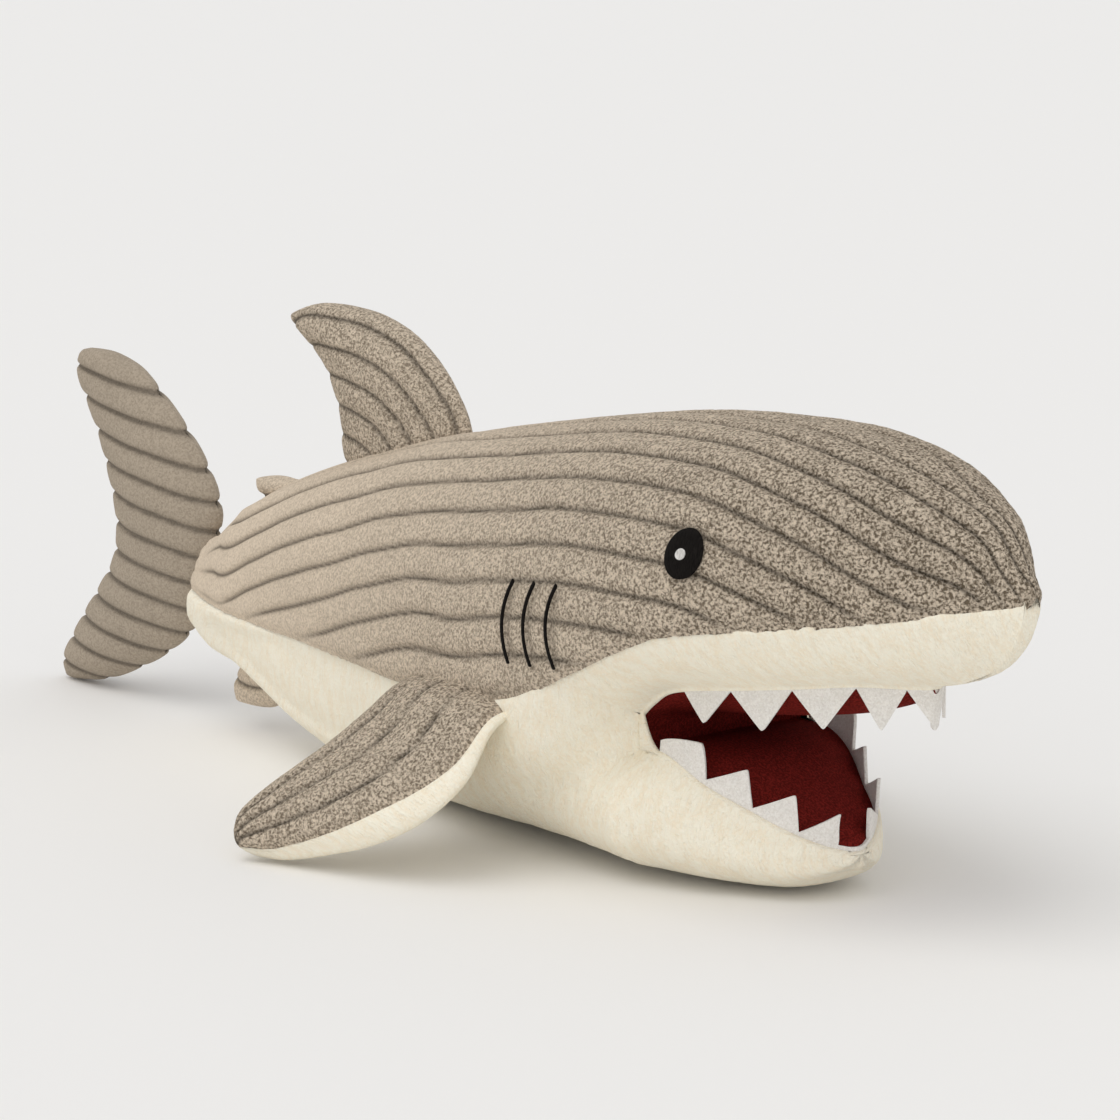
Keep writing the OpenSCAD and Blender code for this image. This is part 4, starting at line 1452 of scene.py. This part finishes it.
class Stitcher:
    """Lays short stitches along lines with Geometry Nodes."""

    def tree(self) -> bpy.types.NodeTree:
        """The stitch tree: stitches at a pitch along each line, each one a short rounded thread."""
        found = bpy.data.node_groups.get("stitches_on_a_line")
        if found:
            return found
        tree = bpy.data.node_groups.new("stitches_on_a_line", "GeometryNodeTree")
        for label, kind, value in (("Geometry", "Geometry", None), ("Pitch", "Float", 1 * MM),
                                   ("Length", "Float", 2 * MM), ("Thread", "Float", 0.5 * MM),
                                   ("Turn", "Float", 0.0), ("Seed", "Int", 5), ("Up", "Vector", None),
                                   ("Material", "Material", None)):
            socket = tree.interface.new_socket(name=label, in_out="INPUT", socket_type="NodeSocket" + kind)
            if value is not None:
                socket.default_value = value
        tree.interface.new_socket(name="Geometry", in_out="OUTPUT", socket_type="NodeSocketGeometry")
        n, given = Nodes(tree), tree.nodes.new("NodeGroupInput").outputs
        curve = n.add("GeometryNodeMeshToCurve", Mesh=given["Geometry"]).outputs[0]
        points = n.add("GeometryNodeCurveToPoints", mode="LENGTH", Curve=curve, Length=given["Pitch"]).outputs
        ball = n.add("GeometryNodeMeshUVSphere", Segments=6, Rings=5, Radius=0.5).outputs["Mesh"]
        round_ball = n.add("GeometryNodeSetShadeSmooth", Geometry=ball).outputs[0]
        size = n.add("ShaderNodeCombineXYZ", X=given["Length"], Y=given["Thread"], Z=given["Thread"])
        thread = n.add("GeometryNodeTransform", Geometry=round_ball, Scale=size.outputs[0]).outputs[0]
        aim = n.add("FunctionNodeAlignRotationToVector", axis="Z", Vector=given["Up"]).outputs[0]
        along = n.add("FunctionNodeAlignRotationToVector", axis="X", pivot_axis="Z", Rotation=aim,
                      Vector=points["Tangent"]).outputs[0]
        jitter = n.add("FunctionNodeRandomValue", data_type="FLOAT", Seed=given["Seed"])
        jitter.inputs[2].default_value, jitter.inputs[3].default_value = -0.12, 0.12
        spin = n.add("ShaderNodeCombineXYZ", Z=n.sum(given["Turn"], jitter.outputs[1])).outputs[0]
        turned = n.add("FunctionNodeRotateRotation", rotation_space="LOCAL", Rotation=along, Rotate_By=spin)
        placed = n.add("GeometryNodeInstanceOnPoints", Points=points["Points"], Instance=thread,
                       Rotation=turned.outputs[0]).outputs[0]
        real = n.add("GeometryNodeRealizeInstances", Geometry=placed).outputs[0]
        dressed = n.add("GeometryNodeSetMaterial", Geometry=real, Material=given["Material"]).outputs[0]
        n.feed(tree.nodes.new("NodeGroupOutput").inputs["Geometry"], dressed)
        return tree

    def sew(self, name: str, lines: Sequence[Array], cloth: Cloth, pitch: float, length: float,
            thread: float, turn: float, up: tuple[float, float, float]) -> bpy.types.Object:
        """Sews lines of stitches and returns them as one plain mesh.

        Args:
            name: the piece's name.
            lines: rows of points in millimetres.
            cloth: the thread's finish.
            pitch: distance between stitches in millimetres.
            length: length of a stitch.
            thread: thickness of the thread.
            turn: angle of a stitch to its line in radians.
            up: direction away from the cloth.

        Returns:
            The stitches as a mesh object.
        """
        points, edges = [], []
        for line in lines:
            start = len(points)
            points.extend((line * MM).tolist())
            edges.extend((start + i, start + i + 1) for i in range(len(line) - 1))
        mesh = bpy.data.meshes.new(name + "_lines")
        mesh.from_pydata(points, edges, [])
        carrier = place(name + "_lines", mesh)
        material = bpy.data.materials.get(cloth.value.name) or cloth.value.make()
        modifier = carrier.modifiers.new("stitches", "NODES")
        modifier.node_group = self.tree()
        values = {"Pitch": pitch * MM, "Length": length * MM, "Thread": thread * MM, "Turn": turn, "Up": up,
                  "Material": material}
        for item in modifier.node_group.interface.items_tree:
            if item.in_out == "INPUT" and item.name in values:
                modifier[item.identifier] = values[item.name]
        made = evaluated(carrier)
        bpy.data.objects.remove(carrier)
        made.name = name
        corner = np.empty(len(made.loops), np.int32)
        made.loops.foreach_get("vertex_index", corner)
        spot = np.empty(len(made.vertices) * 3, np.float32)
        made.vertices.foreach_get("co", spot)
        flat = spot.reshape(-1, 3)[corner][:, [2, 0]]
        made.uv_layers.new(name="cloth").data.foreach_set("uv", flat.reshape(-1).copy())
        return place(name, made)


# ---------------------------------------------------------------- studio

def aimed(obj: bpy.types.Object, spot: Sequence[float], target: Sequence[float]) -> None:
    """Stands a camera or lamp at spot and points it at target."""
    obj.location = spot
    obj.rotation_euler = (Vector(target) - Vector(spot)).to_track_quat("-Z", "Y").to_euler()


@dataclass(frozen=True)
class Studio:
    """Pale floor, soft light and the camera."""

    lens: float = 112.5
    eye: tuple[float, float, float] = (1.0704, -0.8511, 0.3272)
    target: tuple[float, float, float] = (0.0562, 0.0, 0.1010)
    floor_half: float = 90.0
    daylight: float = 0.69

    def camera(self) -> None:
        """Sets up the camera."""
        data = bpy.data.cameras.new("camera")
        data.lens, data.sensor_width = self.lens, 36.0
        data.clip_start, data.clip_end = 0.05, 50
        camera = place("camera", data)
        aimed(camera, self.eye, self.target)
        bpy.context.scene.camera = camera

    def floor(self) -> None:
        """A wide pale floor."""
        mesh = bpy.data.meshes.new("floor")
        r = self.floor_half
        mesh.from_pydata([(-r, -r, 0), (r, -r, 0), (r, r, 0), (-r, r, 0)], [], [(0, 1, 2, 3)])
        material = bpy.data.materials.new("pale_floor")
        material.use_nodes = True
        shader = material.node_tree.nodes["Principled BSDF"]
        shader.inputs["Base Color"].default_value = linear(243, 242, 240)
        shader.inputs["Roughness"].default_value = 0.8
        shader.inputs["Specular IOR Level"].default_value = 0.2
        mesh.materials.append(material)
        place("floor", mesh)

    def lights(self) -> None:
        """Soft light all round with a large key from above and the left."""
        world = bpy.data.worlds.new("room")
        world.use_nodes = True
        sky = world.node_tree.nodes["Background"].inputs
        sky["Color"].default_value = (0.98, 0.985, 1.0, 1.0)
        sky["Strength"].default_value = self.daylight
        bpy.context.scene.world = world
        for name, spot, spread, power, tint in (
                ("key", (-0.2, -1.1, 2.6), 50.0, 0.75, (1.0, 0.98, 0.95)),
                ("fill", (1.6, -1.6, 0.9), 80.0, 0.45, (1.0, 0.985, 0.96))):
            data = bpy.data.lights.new(name, "SUN")
            data.angle, data.energy, data.color = math.radians(spread), power, tint
            aimed(place(name, data), spot, (0.02, 0, 0.08))

    def build(self) -> None:
        """Sets the whole studio."""
        self.camera()
        self.floor()
        self.lights()
        bpy.context.scene.view_settings.view_transform = "Standard"


DORSAL = ((-1, 151, -82, 131, 0.5), (-9, 161, -82, 140, 0.9), (-20, 171, -86, 153, 1),
          (-37, 181, -93, 164, 1), (-58, 187, -102, 171, 0.95), (-80, 189, -108, 175.5, 0.85),
          (-98, 188.6, -111.5, 177.5, 0.7), (-106.5, 187, -114, 180, 0.45))
TAIL = ((-289, 0.5, -298, 3, 0.2), (-268, 3.5, -300, 9, 0.6), (-245, 11, -294, 18, 0.85),
        (-218, 23, -282, 32, 0.95), (-196, 38, -267, 48, 1), (-185.5, 54, -256, 61, 1),
        (-181, 66, -252, 73, 1), (-176, 80, -253, 85, 1), (-175, 95, -257, 97, 1),
        (-186, 113, -264, 114, 0.95), (-206, 131, -272, 127, 0.85), (-234, 149, -280, 139, 0.7),
        (-256, 155, -283, 147, 0.5), (-270, 156.5, -282, 153, 0.2))
PECTORAL = ((115, 80, 57, 42, 69.5, 57, 0.6), (116, 94, 40, 40, 82, 48, 0.95),
            (107, 106, 26, 38, 96, 39, 1), (89, 116, 15, 33, 109, 30, 1), (68, 123, 8, 28, 120, 22, 0.8),
            (50, 129, 4, 26, 129, 15, 0.65), (39, 135, 3, 27, 136, 9, 0.4))
SECOND_DORSAL = ((-112, 112, -138, 103, 1), (-120, 112.8, -141, 105, 0.95), (-129, 113.4, -143, 108, 0.75),
                 (-135, 113.2, -143.5, 109.5, 0.5))
ANAL = ((-124, 19, -156, 29, 1), (-132, 13, -160, 23, 0.95), (-143, 10.5, -162.5, 17, 0.75),
        (-152, 10, -161.5, 13.5, 0.5))


def fins() -> list[Fin]:
    """Every fin with its cut and its cloth."""
    left = tuple((a, -b, c, d, -e, f, g) for a, b, c, d, e, f, g in PECTORAL)
    made = [
        Fin(body="dorsal_fin", stations=DORSAL, first=4.5, pitch=12.0, sink=(6, 0, -17),
            nubby=0.8, faces=(("grey_dorsal_fin", Cloth.GREY, (
                "dorsal_fin_right_face", "dorsal_fin_left_face", "dorsal_fin_stuffing")),)),
        # The tail fin is painted darker all over with shade.
        Fin(body="tail_fin", stations=TAIL, lay=RibLay.ACROSS, first=143.7, pitch=12.8,
            nubby=0.28, shade=0.55, groove_depth=1.5, rows=170, faces=(("grey_tail_fin", Cloth.GREY, (
                "tail_fin_right_face", "tail_fin_left_face", "tail_fin_stuffing")),)),
        Fin(stations=SECOND_DORSAL, half_thickness=4.2, first=8.0, pitch=11.0, rows=30,
            sink=(5, 0, -8), nubby=0.4,
            faces=(("grey_second_dorsal_fin", Cloth.GREY, ("second_dorsal_fin",)),)),
        Fin(stations=ANAL, half_thickness=4.4, first=9.0, pitch=12.0, rows=40, sink=(4, 0, 9),
            nubby=0.4, faces=(("grey_anal_fin", Cloth.GREY, ("anal_fin",)),)),
    ]
    for side, stations, sink in (("right", PECTORAL, (0, 14, 4)), ("left", left, (0, -14, 4))):
        made.append(Fin(
            body=f"pectoral_{side}", stations=stations, first=15.5, pitch=15.0, sink=sink, upside=True,
            nubby=0.9, lay=RibLay.LENGTHWISE,
            faces=((f"grey_pectoral_top_{side}", Cloth.GREY,
                    (f"pectoral_{side}_top", f"pectoral_{side}_stuffing")),
                   (f"cream_pectoral_under_{side}", Cloth.CREAM, (f"pectoral_{side}_under",)))))
    return made


def main() -> None:
    """Builds the toy and its studio."""
    logging.basicConfig(level=logging.INFO, format="%(name)s: %(message)s")
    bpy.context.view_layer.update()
    Studio().build()
    for part in (Back(), Belly(), UpperLip(), MouthLining(), Teeth(), Face(), *fins()):
        part.build()


if __name__ == "__main__":
    main()
